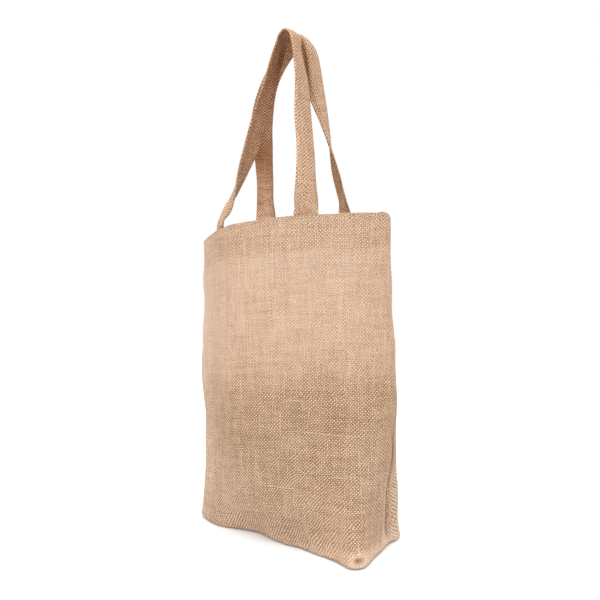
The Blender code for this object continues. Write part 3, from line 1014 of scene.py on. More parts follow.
@dataclass
class Strap:
    """One handle: a flat strap from its right foot inside the hem, over its peak, to its left foot."""

    name: str
    node: str
    wall: Wall
    route: Sequence[StrapKey]
    feet: Tuple[float, float]
    curls: Sequence[Curl]
    shades: Sequence[PaintedStrapLight]
    width: float = 0.032
    thickness: float = 0.003
    edge_power: int = 24
    sewn: float = 0.034
    inwards: float = 0.0058
    foot_top: float = 0.004
    foot_rows: int = 13
    leg_start: float = 0.006
    curve_samples: int = 12
    row_step: float = 0.0025
    across_steps: int = 16
    least_turn: float = 0.02
    coarse: float = 0.7
    fine_ends: float = 0.28
    fine_reach: float = 0.11
    # Painted highlight: a strap's faces are this much lighter beyond this share from the middle, along both
    # edges.
    painted_edge_highlight: float = 0.06
    edge_share: float = 0.47

    def shares(self) -> np.ndarray:
        """Give the places across the strap, from 0 at its left edge to 1 at its right."""
        return np.linspace(0.0, 1.0, self.across_steps + 1)

    def foot_row(self, around: float, side: int, above_rim: float) -> Tuple[np.ndarray, np.ndarray]:
        """Give one row of the strap's end inside the hem.

        Args:
            around: distance round the bag of the foot's middle.
            side: 1 at the right foot and -1 at the left.
            above_rim: how far above the rim the row is.

        Returns:
            The middle line's points across the strap and the direction of the outer face at each.
        """
        place = around + self.width * (0.5 - self.shares()) * side
        _, rims = self.wall.outlines(place)
        up = 1.0 + above_rim / rims[:, 2]
        direction = self.wall.outward(place, up)
        return self.wall.at(place, up) - direction * self.inwards, direction

    def foot_key(self, around: float, side: int, above_rim: float) -> Point:
        """Give a key of the strap's curve at one of its feet.

        Args:
            around: distance round the bag of the foot's middle.
            side: 1 at the right foot and -1 at the left.
            above_rim: how far above the rim the key is.

        Returns:
            The position and the direction of the outer face, as six numbers.
        """
        points, directions = self.foot_row(around, side, above_rim)
        middle = len(points) // 2
        return tuple(points[middle]) + tuple(directions[middle])

    def leg_rows(self) -> List[Tuple[np.ndarray, np.ndarray]]:
        """Give the rows between the feet.

        Returns:
            The points of each row and the direction of the outer face at each.
        """
        right, left = self.feet
        keys = [self.foot_key(right, 1, above) for above in (-self.leg_start, self.leg_start)]
        keys += [key.row() for key in self.route]
        keys += [self.foot_key(left, -1, above) for above in (self.leg_start, -self.leg_start)]
        course = Course(smooth_curve(keys, self.curve_samples))
        count = round(course.length / self.row_step)
        points = course.at(np.linspace(0.0, 1.0, count + 1))
        rows = []
        for index, point in enumerate(points):
            tangent = points[min(index + 1, count)][:3] - points[max(index - 1, 0)][:3]
            tangent = tangent / np.linalg.norm(tangent)
            across = np.cross(tangent, point[3:])
            across = across / np.linalg.norm(across)
            rows.append(self.section(point[:3], across, np.cross(across, tangent), index / count))
        return rows

    def section(self, middle: np.ndarray, across: np.ndarray, outer: np.ndarray,
                along: float) -> Tuple[np.ndarray, np.ndarray]:
        """Give the points and outer directions of one row, curled inwards as an arc.

        Args:
            middle: where the row's middle is.
            across: the direction to the strap's right edge.
            outer: the direction that its outer face looks.
            along: how far along the strap's free length the row is, from 0 to 1.

        Returns:
            The row's points and the direction of the outer face at each.
        """
        turn = self.least_turn
        for curl in self.curls:
            turn += curl.turn(along)
        radius = self.width / turn
        angle = ((self.shares() - 0.5) * turn)[:, None]
        sag = radius * (np.cos(angle) - 1.0)
        points = middle + across * radius * np.sin(angle) + outer * (sag - sag.mean())
        return points, outer * np.cos(angle) + across * np.sin(angle)

    def tone(self, along: np.ndarray, face: Face) -> np.ndarray:
        """Give how light one face is painted, with its painted highlights and painted shadows.

        Args:
            along: distance of each row from the strap's right end.
            face: the face.

        Returns:
            The tone at every place of every row, around 1.
        """
        length = (along / along[-1])[:, None]
        across = self.shares()[None, :]
        edges = np.abs(across - 0.5) > self.edge_share
        tone = np.ones((len(along), self.across_steps + 1)) + self.painted_edge_highlight * edges
        for shade in self.shades:
            if shade.face is face:
                tone += shade.weight(length, across)
        return tone

    def build(self) -> bpy.types.Object:
        """Build the strap as a closed skin round its rows.

        Returns:
            The strap as one mesh object.
        """
        right, left = self.feet
        below = np.linspace(-self.sewn, self.foot_top, self.foot_rows)
        rows = [self.foot_row(right, 1, above) for above in below]
        rows += self.leg_rows()
        rows += [self.foot_row(left, -1, above) for above in below[::-1]]
        centre = np.array([row[0] for row in rows])
        direction = np.array([row[1] for row in rows])
        edge = np.sqrt(np.clip(1.0 - np.abs(2 * self.shares() - 1.0) ** self.edge_power, 0.0, 1.0))
        half = self.thickness / 2 * edge[None, :, None]
        steps = np.linalg.norm(np.diff(centre[:, self.across_steps // 2], axis=0), axis=-1)
        along = np.concatenate(([0.0], np.cumsum(steps)))
        from_end = np.minimum(along, along[-1] - along)[:, None]
        coarse = self.coarse - self.fine_ends * np.exp(-(from_end / self.fine_reach) ** 2)
        mesh = ClothMesh(self.name)
        outer = mesh.add_points(centre + direction * half, self.tone(along, Face.OUTER), coarse)
        inner = mesh.add_points((centre - direction * half)[:, 1:-1], self.tone(along, Face.INNER)[:, 1:-1],
                                coarse)
        inner = np.concatenate((outer[:, :1], inner, outer[:, -1:]), axis=1)
        across = self.shares() * self.width
        places = np.stack(np.broadcast_arrays(across[None, :], along[:, None]), axis=-1)
        mesh.add_quads(outer, places)
        mesh.add_quads(inner, places + np.array([INNER_SHIFT, 0.0]), turned=True)
        for row, turned in ((0, False), (-1, True)):
            ring = [*outer[row], *inner[row][1:-1][::-1]]
            spots = [*places[row], *places[row][1:-1][::-1]]
            if not turned:
                ring.reverse()
                spots.reverse()
            mesh.add_face(ring, spots)
        return mesh.build()


@dataclass(frozen=True)
class Grain:
    """One size of chance pattern: blots to the metre, finer layers, how strong those are, and its amount."""

    scale: float
    layers: float
    rough: float = 0.5
    amount: float = 1.0


class NodeSheet:
    """Writes shader arithmetic into a node tree."""

    def __init__(self, tree: bpy.types.NodeTree) -> None:
        """Start on an empty tree."""
        self.tree = tree
        self.tree.nodes.clear()

    def feed(self, socket: Socket, value: object) -> None:
        """Link a socket into another, or set its constant.

        Args:
            socket: the input that is fed.
            value: the socket or the constant.
        """
        if isinstance(value, bpy.types.NodeSocket):
            self.tree.links.new(value, socket)
        else:
            socket.default_value = value

    def add(self, kind: str, *values: object, **settings: object) -> bpy.types.Node:
        """Add a node.

        Args:
            kind: Blender's name for the node.
            values: what its first inputs are fed.
            settings: its own settings.

        Returns:
            The node.
        """
        node = self.tree.nodes.new(kind)
        for key, setting in settings.items():
            setattr(node, key, setting)
        for socket, value in zip(node.inputs, values):
            self.feed(socket, value)
        return node

    def math(self, operation: str, *values: object, clamp: bool = False) -> Socket:
        """Give the result of one arithmetic step."""
        return self.add("ShaderNodeMath", *values, operation=operation, use_clamp=clamp).outputs[0]

    def total(self, first: object, *others: object) -> Socket:
        """Give the sum of values."""
        for other in others:
            first = self.math("ADD", first, other)
        return first

    def product(self, first: object, *others: object) -> Socket:
        """Give the product of values."""
        for other in others:
            first = self.math("MULTIPLY", first, other)
        return first

    def centred(self, value: object, amount: float) -> Socket:
        """Give how far a value is above a half, times an amount."""
        return self.product(self.math("SUBTRACT", value, 0.5), amount)

    def ranged(self, value: object, low: float, high: float, to_low: float, to_high: float) -> Socket:
        """Map a value from one range to another, clamped."""
        return self.add("ShaderNodeMapRange", value, low, high, to_low, to_high, clamp=True).outputs[0]

    def joined(self, x: object, y: object, z: object) -> Socket:
        """Join three values to a vector."""
        return self.add("ShaderNodeCombineXYZ", x, y, z).outputs[0]

    def parts(self, vector: object) -> Tuple[Socket, ...]:
        """Split a vector into its three values."""
        return tuple(self.add("ShaderNodeSeparateXYZ", vector).outputs)

    def noise(self, vector: object, grain: Grain) -> Socket:
        """Give the chance pattern of one grain.

        Args:
            vector: where the pattern is read.
            grain: its size and its layers.

        Returns:
            The pattern, around a half.
        """
        node = self.add("ShaderNodeTexNoise")
        for label, value in (("Vector", vector), ("Scale", grain.scale), ("Detail", grain.layers),
                             ("Roughness", grain.rough)):
            self.feed(node.inputs[label], value)
        return node.outputs["Fac"]

    def value_of(self, attribute: str) -> Socket:
        """Read a value that the mesh carries."""
        return self.add("ShaderNodeAttribute", attribute_name=attribute).outputs["Fac"]

    def between(self, share: object, first: object, second: object) -> Socket:
        """Give a value between two others.

        Args:
            share: 0 for the first and 1 for the second.
            first: the first value.
            second: the second value.

        Returns:
            The value.
        """
        node = self.add("ShaderNodeMix", share, data_type="FLOAT")
        for socket, value in zip(node.inputs[2:4], (first, second)):
            self.feed(socket, value)
        return node.outputs[0]

    def mixed(self, share: object, first: object, second: object, blend: str = "MIX") -> Socket:
        """Mix two colours.

        Args:
            share: 0 for the first and 1 for the second.
            first: the first colour.
            second: the second colour.
            blend: Blender's name for the way they mix.

        Returns:
            The colour.
        """
        node = self.add("ShaderNodeMix", share, data_type="RGBA", blend_type=blend)
        for socket, value in zip(node.inputs[6:8], (first, second)):
            self.feed(socket, (*value, 1.0) if isinstance(value, tuple) else value)
        return node.outputs[2]


@dataclass(frozen=True)
class ClothReading:
    """What a cloth's finish reads from its mesh.

    The place on the flat cloth comes whole and in parts, u round the bag and v up it. The value inner is 1
    on a strap's inner face and 0 elsewhere.
    """

    place: Socket
    u: Socket
    v: Socket
    coarse: Socket
    tone: Socket
    inner: Socket


@dataclass(frozen=True)
class Weave:
    """The yarns at a point.

    The warp runs up the cloth and the weft round it: across counts the warp's yarns and along the weft's.
    weft_on_top is 1 where the weft lies over the warp. strand is the tone of the yarn on top, and height is
    how far it stands up, from 0 to 1.
    """

    across: Socket
    along: Socket
    weft_on_top: Socket
    strand: Socket
    height: Socket


@dataclass(frozen=True)
class JuteCloth:
    """Plain-woven jute: flat, uneven yarns that go over and under each other with small gaps between.

    The cloth reads its place from the cloth map, in metres, and two values from the mesh: tone, which
    lightens or darkens it, and coarse, which says how open and rough the weave is, from 0 to 1. The
    contrast, the yarns' width and the gaps' strength each have a number for fine and one for coarse cloth.
    """

    name: str
    pitch: float = 0.0021
    light: Colour = (0.668, 0.468, 0.324)
    pale: Colour = (0.62, 0.450, 0.342)
    middle: Colour = (0.262, 0.145, 0.078)
    # The gaps' colour: painted shade seen between the yarns.
    dark: Colour = (0.034, 0.016, 0.007)
    tint: Colour = (1.0, 1.0, 1.0)
    # Painted shade on a strap's inner face: its colour is darkened and browned by this.
    painted_inner_shade: Colour = (1.0, 1.0, 1.0)
    inner_contrast: float = 1.0
    contrast: Tuple[float, float] = (0.48, 1.16)
    base_shade: float = 0.22
    # The yarns' paths and widths.
    bend: Grain = Grain(45.0, 3.0, amount=2.4)
    shake: Grain = Grain(240.0, 1.0, amount=0.7)
    ragged: Grain = Grain(330.0, 2.0, amount=0.7)
    yarn_width: Tuple[float, float] = (1.05, 0.72)
    yarn_change: Tuple[float, float] = (0.82, 1.12)
    under_height: float = 0.55
    gap_height: float = 0.42
    gap_strength: Tuple[float, float] = (0.45, 1.0)
    # What shades them.
    drift: Grain = Grain(22.0, 3.0, 0.7, 0.80)
    drift_range: Tuple[float, float] = (0.25, 0.75)
    yarn_step: float = 7.31
    layer_step: float = 9.0
    fibres: Grain = Grain(650.0, 4.0, 0.75, 0.60)
    patches: Grain = Grain(24.0, 4.0, 0.6, 0.28)
    streaks: Grain = Grain(1.0, 3.0, 0.6, 0.46)
    streak_scales: Tuple[float, float] = (150.0, 14.0)
    upright_layer: float = 3.0
    level_layer: float = 8.0
    # Painted shade in the weave's hollows, where the yarns are low.
    painted_hollow_shade: float = 0.75
    # Painted top light: where the weft lies on top the yarns are this much lighter, where the warp does this
    # much darker.
    weft_top_painted_light: float = 0.29
    lean: float = 0.22
    lean_way: float = 1.0
    lean_range: Tuple[float, float] = (0.3, 0.8)
    grit: float = 0.9
    grit_to_yarn: float = 0.84
    grit_layers: float = 3.0
    grit_rough: float = 0.8
    # How much more the red and the blue change with the tone than the green.
    warm_powers: Tuple[float, float] = (0.75, 1.25)
    roughness: float = 0.9
    shine: float = 0.12
    bump: float = 0.0004
    fibre_bump: float = 0.35

    def make(self) -> bpy.types.Material:
        """Build the material.

        Returns:
            The material.
        """
        material = bpy.data.materials.new(self.name)
        material.use_nodes = True
        sheet = NodeSheet(material.node_tree)
        place = sheet.add("ShaderNodeUVMap", uv_map=CLOTH_MAP).outputs["UV"]
        u, v, _ = sheet.parts(place)
        inner = sheet.math("GREATER_THAN", u, INNER_SHIFT / 2)
        cloth = ClothReading(place, u, v, sheet.value_of(COARSE), sheet.value_of(TONE), inner)
        weave = self.weave(sheet, cloth)
        fibres = sheet.noise(place, self.fibres)
        contrast = sheet.product(sheet.ranged(cloth.coarse, 0.0, 1.0, *self.contrast),
                                 sheet.between(inner, 1.0, self.inner_contrast))
        shade = sheet.total(self.shade(sheet, cloth, weave, fibres), self.base_shade)
        shade = sheet.math("MULTIPLY", shade, contrast, clamp=True)
        relief = sheet.product(sheet.total(weave.height, sheet.product(fibres, self.fibre_bump)), contrast)
        bump = sheet.add("ShaderNodeBump")
        shader = sheet.add("ShaderNodeBsdfPrincipled", self.colour(sheet, cloth, weave, shade))
        for node, label, value in (
                (bump, "Strength", 1.0), (bump, "Distance", self.bump), (bump, "Height", relief),
                (shader, "Roughness", self.roughness), (shader, "Specular IOR Level", self.shine),
                (shader, "Normal", bump.outputs[0])):
            sheet.feed(node.inputs[label], value)
        sheet.add("ShaderNodeOutputMaterial", shader.outputs[0])
        return material

    def weave(self, sheet: NodeSheet, cloth: ClothReading) -> Weave:
        """Lay the yarns over and under each other.

        Args:
            sheet: where the nodes go.
            cloth: what the mesh carries.

        Returns:
            The yarns at the point.
        """
        bend = sheet.centred(sheet.noise(cloth.place, self.bend), self.bend.amount)
        shake = sheet.centred(sheet.noise(cloth.place, self.shake), self.shake.amount)
        across = sheet.total(sheet.math("DIVIDE", cloth.u, self.pitch), sheet.total(bend, shake))
        along = sheet.total(sheet.math("DIVIDE", cloth.v, self.pitch), sheet.math("SUBTRACT", bend, shake))
        warp = sheet.math("FLOOR", across)
        weft = sheet.math("FLOOR", along)
        warp_tone = self.strand_tone(sheet, warp, cloth.v, 1.0)
        weft_tone = self.strand_tone(sheet, weft, cloth.u, 2.0)
        ragged = sheet.centred(sheet.noise(cloth.place, self.ragged), self.ragged.amount)
        width = sheet.math("SUBTRACT", sheet.ranged(cloth.coarse, 0.0, 1.0, *self.yarn_width), ragged)
        warp_rise = self.yarn(sheet, across, warp_tone, width)
        weft_rise = self.yarn(sheet, along, weft_tone, width)
        over = sheet.math("PINGPONG", sheet.total(warp, weft), 1.0)
        under = sheet.product(sheet.between(over, weft_rise, warp_rise), self.under_height)
        height = sheet.math("MAXIMUM", sheet.between(over, warp_rise, weft_rise), under)
        return Weave(across, along, over, sheet.between(over, warp_tone, weft_tone), height)

    def strand_tone(self, sheet: NodeSheet, strand: object, along: object, layer: float) -> Socket:
        """Give each yarn its own tone, which drifts along it.

        Args:
            sheet: where the nodes go.
            strand: the yarn's number.
            along: the place along it.
            layer: 1 for the yarns up the cloth and 2 for those round it.

        Returns:
            The tone, from 0 to 1.
        """
        place = sheet.joined(sheet.product(strand, self.yarn_step), along, layer * self.layer_step)
        return sheet.ranged(sheet.noise(place, self.drift), *self.drift_range, 0.0, 1.0)

    def yarn(self, sheet: NodeSheet, across: object, tone: object, width: object) -> Socket:
        """Give the rounded height of a yarn.

        Args:
            sheet: where the nodes go.
            across: the place counted in yarns.
            tone: the yarn's tone; a dark one is thinner.
            width: how much of its room a yarn takes up.

        Returns:
            The height, from 0 beside the yarn to 1 along its middle.
        """
        gap = sheet.centred(sheet.math("FRACT", across), 2.0)
        reach = sheet.product(width, sheet.ranged(tone, 0.0, 1.0, *self.yarn_change))
        share = sheet.math("DIVIDE", gap, reach)
        return sheet.math("SUBTRACT", 1.0, sheet.product(share, share), clamp=True)

    def streak(self, sheet: NodeSheet, cloth: ClothReading, scales: Sequence[float], layer: float) -> Socket:
        """Give the shade of long streaks that run one way.

        Args:
            sheet: where the nodes go.
            cloth: what the mesh carries.
            scales: streaks to the metre across the cloth and along it.
            layer: a number that sets one pattern apart from another.

        Returns:
            The shade.
        """
        place = sheet.joined(sheet.product(cloth.u, scales[0]), sheet.product(cloth.v, scales[1]), layer)
        return sheet.centred(sheet.noise(place, self.streaks), -self.streaks.amount)

    def slant(self, sheet: NodeSheet, cloth: ClothReading, weave: Weave) -> Socket:
        """Give the shade of the slanting lines that the tops of the yarns join up to in coarse cloth.

        Args:
            sheet: where the nodes go.
            cloth: what the mesh carries.
            weave: the yarns at the point.

        Returns:
            The shade.
        """
        way = sheet.between(cloth.inner, self.lean_way, 1.0)
        lines = sheet.math("PINGPONG", sheet.total(weave.across, sheet.product(weave.along, way)), 1.0)
        lines = sheet.product(sheet.math("SUBTRACT", lines, 0.5), sheet.product(way, 2.0))
        return sheet.product(lines, sheet.ranged(cloth.coarse, *self.lean_range, 0.0, self.lean))

    def shade(self, sheet: NodeSheet, cloth: ClothReading, weave: Weave, fibres: Socket) -> Socket:
        """Add up what darkens the yarns, painted shade in the hollows and painted top light on the yarns
        included.

        Args:
            sheet: where the nodes go.
            cloth: what the mesh carries.
            weave: the yarns at the point.
            fibres: the pattern of single fibres.

        Returns:
            The shade, around 0.
        """
        grit = Grain(self.grit_to_yarn / self.pitch, self.grit_layers, self.grit_rough)
        return sheet.total(
            sheet.centred(weave.strand, -self.drift.amount),
            sheet.centred(fibres, -self.fibres.amount),
            sheet.centred(sheet.noise(cloth.place, self.patches), -self.patches.amount),
            self.streak(sheet, cloth, self.streak_scales, self.upright_layer),
            self.streak(sheet, cloth, self.streak_scales[::-1], self.level_layer),
            sheet.product(sheet.math("SUBTRACT", 1.0, weave.height), self.painted_hollow_shade),
            sheet.between(weave.weft_on_top, self.weft_top_painted_light, -self.weft_top_painted_light),
            self.slant(sheet, cloth, weave),
            sheet.centred(sheet.noise(cloth.place, grit), -self.grit))

    def colour(self, sheet: NodeSheet, cloth: ClothReading, weave: Weave, shade: Socket) -> Socket:
        """Colour the yarns and the gaps between them.

        Args:
            sheet: where the nodes go.
            cloth: what the mesh carries.
            weave: the yarns at the point.
            shade: how dark the yarn is, from 0 to 1.

        Returns:
            The colour.
        """
        yarns = sheet.mixed(shade, sheet.mixed(cloth.coarse, self.pale, self.light), self.middle)
        # Painted shade in the gaps between the yarns.
        gap = sheet.product(sheet.ranged(weave.height, 0.0, self.gap_height, 1.0, 0.0),
                            sheet.ranged(cloth.coarse, 0.0, 1.0, *self.gap_strength))
        tint = sheet.mixed(cloth.inner, self.tint, self.painted_inner_shade)
        colour = sheet.mixed(1.0, sheet.mixed(gap, yarns, self.dark), tint, blend="MULTIPLY")
        red, blue = (sheet.math("POWER", cloth.tone, power) for power in self.warm_powers)
        warmth = sheet.joined(red, cloth.tone, blue)
        return sheet.add("ShaderNodeVectorMath", colour, warmth, operation="MULTIPLY").outputs[0]


@dataclass(frozen=True)
class Paint:
    """An even matt finish."""

    name: str
    colour: Colour
    roughness: float = 0.9
    shine: float = 0.1

    def make(self) -> bpy.types.Material:
        """Build the material.

        Returns:
            The material.
        """
        material = bpy.data.materials.new(self.name)
        material.use_nodes = True
        shader = material.node_tree.nodes["Principled BSDF"]
        shader.inputs["Base Color"].default_value = (*self.colour, 1.0)
        shader.inputs["Roughness"].default_value = self.roughness
        shader.inputs["Specular IOR Level"].default_value = self.shine
        return material


class GeometrySheet:
    """Builds a Geometry Nodes group that turns a curve or a mesh into a field of small copies."""

    def __init__(self, name: str, inputs: Sequence[Tuple[str, str, object]]) -> None:
        """Start a group with its named inputs.

        Args:
            name: the group's name.
            inputs: name, kind and value of each input after the geometry.
        """
        self.tree = bpy.data.node_groups.new(name, "GeometryNodeTree")
        for way in ("INPUT", "OUTPUT"):
            self.tree.interface.new_socket(name="Geometry", in_out=way, socket_type="NodeSocketGeometry")
        self.values: Dict[str, object] = {}
        for label, kind, value in inputs:
            kind = "NodeSocket" + kind
            socket = self.tree.interface.new_socket(name=label, in_out="INPUT", socket_type=kind)
            self.values[socket.identifier] = value
        self.given = self.tree.nodes.new("NodeGroupInput").outputs

    def add(self, kind: str, links: Dict[object, object], **settings: object) -> bpy.types.Node:
        """Add a node.

        Args:
            kind: Blender's name for the node.
            links: a socket or a constant for each of its inputs, by name or number.
            settings: its own settings.

        Returns:
            The node.
        """
        node = self.tree.nodes.new(kind)
        for key, setting in settings.items():
            setattr(node, key, setting)
        for key, value in links.items():
            if isinstance(value, bpy.types.NodeSocket):
                self.tree.links.new(value, node.inputs[key])
            else:
                node.inputs[key].default_value = value
        return node

    def close(self, spots: bpy.types.Node, copy: Socket, turn: Socket, scale: Socket) -> None:
        """Set the copies on their spots and turn them into plain geometry with the group's material.

        Args:
            spots: the node that gives the points.
            copy: what is repeated.
            turn: how each copy is turned.
            scale: how large each copy is.
        """
        copies = self.add("GeometryNodeInstanceOnPoints", {
            "Points": spots.outputs["Points"], "Instance": copy, "Rotation": turn, "Scale": scale})
        plain = self.add("GeometryNodeRealizeInstances", {"Geometry": copies.outputs[0]})
        painted = self.add("GeometryNodeSetMaterial", {
            "Geometry": plain.outputs[0], "Material": self.given["Material"]})
        self.add("NodeGroupOutput", {0: painted.outputs[0]})

    def grow(self, source: bpy.types.Object, name: str) -> bpy.types.Object:
        """Run the group on a source, which then goes away.

        Args:
            source: the curve or mesh that the copies stand on.
            name: what the result is called.

        Returns:
            The result as a plain mesh object.
        """
        modifier = source.modifiers.new(name, "NODES")
        modifier.node_group = self.tree
        for identifier, value in self.values.items():
            modifier[identifier] = value
        graph = bpy.context.evaluated_depsgraph_get()
        mesh = bpy.data.meshes.new_from_object(source.evaluated_get(graph))
        bpy.data.objects.remove(source, do_unlink=True)
        return linked(name, mesh)


@dataclass(frozen=True)
class Stitching:
    """A run of thread stitches along seam lines."""

    name: str
    pitch: float = 0.0036
    length: float = 0.0029
    thickness: float = 0.0007
    uneven: float = 0.25
    seed: int = 5
    segments: int = 6
    rings: int = 5

    def build(self, lines: Sequence[np.ndarray], material: bpy.types.Material) -> bpy.types.Object:
        """Build all the stitches of one seam.

        Args:
            lines: points of each line of stitches.
            material: the thread's finish.

        Returns:
            The stitches as one mesh object.
        """
        sheet = GeometrySheet(self.name, (
            ("Pitch", "Float", self.pitch), ("Length", "Float", self.length),
            ("Thickness", "Float", self.thickness), ("Uneven", "Float", self.uneven),
            ("Seed", "Int", self.seed), ("Material", "Material", material)))
        given = sheet.given
        spots = sheet.add("GeometryNodeCurveToPoints", {
            "Curve": given["Geometry"], "Length": given["Pitch"]}, mode="LENGTH")
        # The bead is one unit across, so its scale is its size.
        bead = sheet.add("GeometryNodeMeshUVSphere", {
            "Segments": self.segments, "Rings": self.rings, "Radius": 0.5})
        size = sheet.add("ShaderNodeCombineXYZ", {
            "X": given["Thickness"], "Y": given["Thickness"], "Z": given["Length"]})
        low = sheet.add("ShaderNodeMath", {0: 1.0, 1: given["Uneven"]}, operation="SUBTRACT")
        change = sheet.add("FunctionNodeRandomValue", {
            "Min": low.outputs[0], "Max": 1.0, "Seed": given["Seed"]}, data_type="FLOAT")
        scale = sheet.add("ShaderNodeVectorMath", {
            0: size.outputs[0], "Scale": change.outputs["Value"]}, operation="SCALE")
        turn = sheet.add("FunctionNodeAlignRotationToVector", {
            "Vector": spots.outputs["Tangent"]}, axis="Z")
        sheet.close(spots, bead.outputs["Mesh"], turn.outputs[0], scale.outputs[0])
        return sheet.grow(self.seam(lines), self.name)

    def seam(self, lines: Sequence[np.ndarray]) -> bpy.types.Object:
        """Make a curve with one straight-stepped spline for each line of points.

        Args:
            lines: points of each line.

        Returns:
            The curve object.
        """
        curve = bpy.data.curves.new(self.name + "_lines", "CURVE")
        curve.dimensions = "3D"
        for line in lines:
            spline = curve.splines.new("POLY")
            spline.points.add(len(line) - 1)
            spline.points.foreach_set("co", np.pad(line, ((0, 0), (0, 1)), constant_values=1.0).ravel())
        return linked(curve.name, curve)


@dataclass(frozen=True)
class Fuzz:
    """Loose jute fibres that stand off a cloth: bent hairs about one unit long, scaled to their length."""

    name: str
    density: float
    longest: float = 0.008
    shortest: float = 0.0025
    thickness: float = 0.014
    lowest: float = 0.012
    seed: int = 3
    bend_radius: float = 0.62
    bend_sweep: float = 1.7
    bend_steps: int = 6
    sides: int = 3
    least_turn: Point = (0.05, -0.3, -3.14)
    most_turn: Point = (0.9, 0.3, 3.14)

    def build(self, cloth: bpy.types.Object, material: bpy.types.Material) -> bpy.types.Object:
        """Scatter the fibres over a cloth.

        Args:
            cloth: the piece that they stand on.
            material: their finish.

        Returns:
            The fibres as one mesh object.
        """
        sheet = GeometrySheet(self.name, (
            ("Density", "Float", self.density), ("Longest", "Float", self.longest),
            ("Shortest", "Float", self.shortest), ("Thickness", "Float", self.thickness),
            ("Lowest", "Float", self.lowest), ("Seed", "Int", self.seed),
            ("Material", "Material", material)))
        given = sheet.given
        position = sheet.add("GeometryNodeInputPosition", {})
        height = sheet.add("ShaderNodeSeparateXYZ", {0: position.outputs[0]})
        above = sheet.add("ShaderNodeMath", {
            0: height.outputs["Z"], 1: given["Lowest"]}, operation="GREATER_THAN")
        spots = sheet.add("GeometryNodeDistributePointsOnFaces", {
            "Mesh": given["Geometry"], "Selection": above.outputs[0], "Density": given["Density"],
            "Seed": given["Seed"]})
        arc = sheet.add("GeometryNodeCurveArc", {
            "Resolution": self.bend_steps, "Radius": self.bend_radius, "Sweep Angle": self.bend_sweep})
        ring = sheet.add("GeometryNodeCurvePrimitiveCircle", {
            "Resolution": self.sides, "Radius": given["Thickness"]})
        hair = sheet.add("GeometryNodeCurveToMesh", {
            "Curve": arc.outputs[0], "Profile Curve": ring.outputs[0]})
        rooted = sheet.add("GeometryNodeTransform", {
            "Geometry": hair.outputs[0], "Translation": (-self.bend_radius, 0.0, 0.0)})
        lean = sheet.add("FunctionNodeRandomValue", {
            0: self.least_turn, 1: self.most_turn, "Seed": given["Seed"]}, data_type="FLOAT_VECTOR")
        turn = sheet.add("FunctionNodeRotateRotation", {
            "Rotation": spots.outputs["Rotation"], "Rotate By": lean.outputs[0]}, rotation_space="LOCAL")
        length = sheet.add("FunctionNodeRandomValue", {
            2: given["Shortest"], 3: given["Longest"], "Seed": given["Seed"]}, data_type="FLOAT")
        sheet.close(spots, rooted.outputs[0], turn.outputs[0], length.outputs["Value"])
        return sheet.grow(linked(self.name + "_source", cloth.data.copy()), self.name)


@dataclass(frozen=True)
class Sewing:
    """Every seam of the bag: the hem, the strap ends and the free edges of the side seams."""

    wall: Wall
    thread: Paint = Paint("jute_thread", (0.60, 0.43, 0.30))
    sunk: float = 0.0001
    hem_line: float = 0.0445
    hem_thickness: float = 0.0027
    strap_outside: float = 0.0073
    box_width: float = 0.026
    box_top: float = 0.006
    box_bottom: float = 0.028
    edge_start: float = 0.03
    edge_end: float = 0.86
    edge_spacing: float = 0.010
    edge_near: float = 0.0045
    edge_far: float = 0.0092
    edge_rise: float = 0.005
    edge_inwards: float = 0.0041

    def hem(self) -> List[np.ndarray]:
        """Give the hem's line of stitches on the outer and the inner face."""
        ends = (0.0, self.hem_line), (LOOP, self.hem_line)
        faces = self.sunk, self.hem_thickness + self.sunk
        return [self.wall.line(*ends, True, inwards) for inwards in faces]

    def boxes(self, inwards: float) -> List[np.ndarray]:
        """Give the stitched box at each of the four strap ends.

        Args:
            inwards: how far behind the outer face the boxes lie.

        Returns:
            The points of the boxes' sides.
        """
        lines = []
        half = self.box_width / 2
        for foot in FRONT_FEET + BACK_FEET:
            corners = ((foot - half, self.box_top), (foot + half, self.box_top),
                       (foot + half, self.box_bottom), (foot - half, self.box_bottom))
            for here, there in zip(corners, corners[1:] + corners[:1]):
                lines.append(self.wall.line(here, there, True, inwards))
        return lines

    def edges(self) -> List[np.ndarray]:
        """Give slanting stitches over the free edges of both side seams inside the bag.

        Returns:
            The two ends, and points between, of each stitch.
        """
        lines = []
        for seam in (0.0, PANEL):
            for step in np.arange(self.edge_start, self.edge_end, self.edge_spacing):
                near = (seam + self.edge_near, step)
                far = (seam + self.edge_far, step + self.edge_rise)
                lines.append(self.wall.line(near, far, False, self.edge_inwards))
        return lines

    def build(self) -> List[bpy.types.Object]:
        """Build the stitches.

        Returns:
            One object for each kind of seam.
        """
        thread = self.thread.make()
        boxes = self.boxes(self.sunk) + self.boxes(self.strap_outside)
        return [
            Stitching("hem_stitches").build(self.hem(), thread),
            Stitching("strap_stitches", thickness=0.0009).build(boxes, thread),
            Stitching("seam_edge_stitches", pitch=0.0028, length=0.0030).build(self.edges(), thread),
        ]


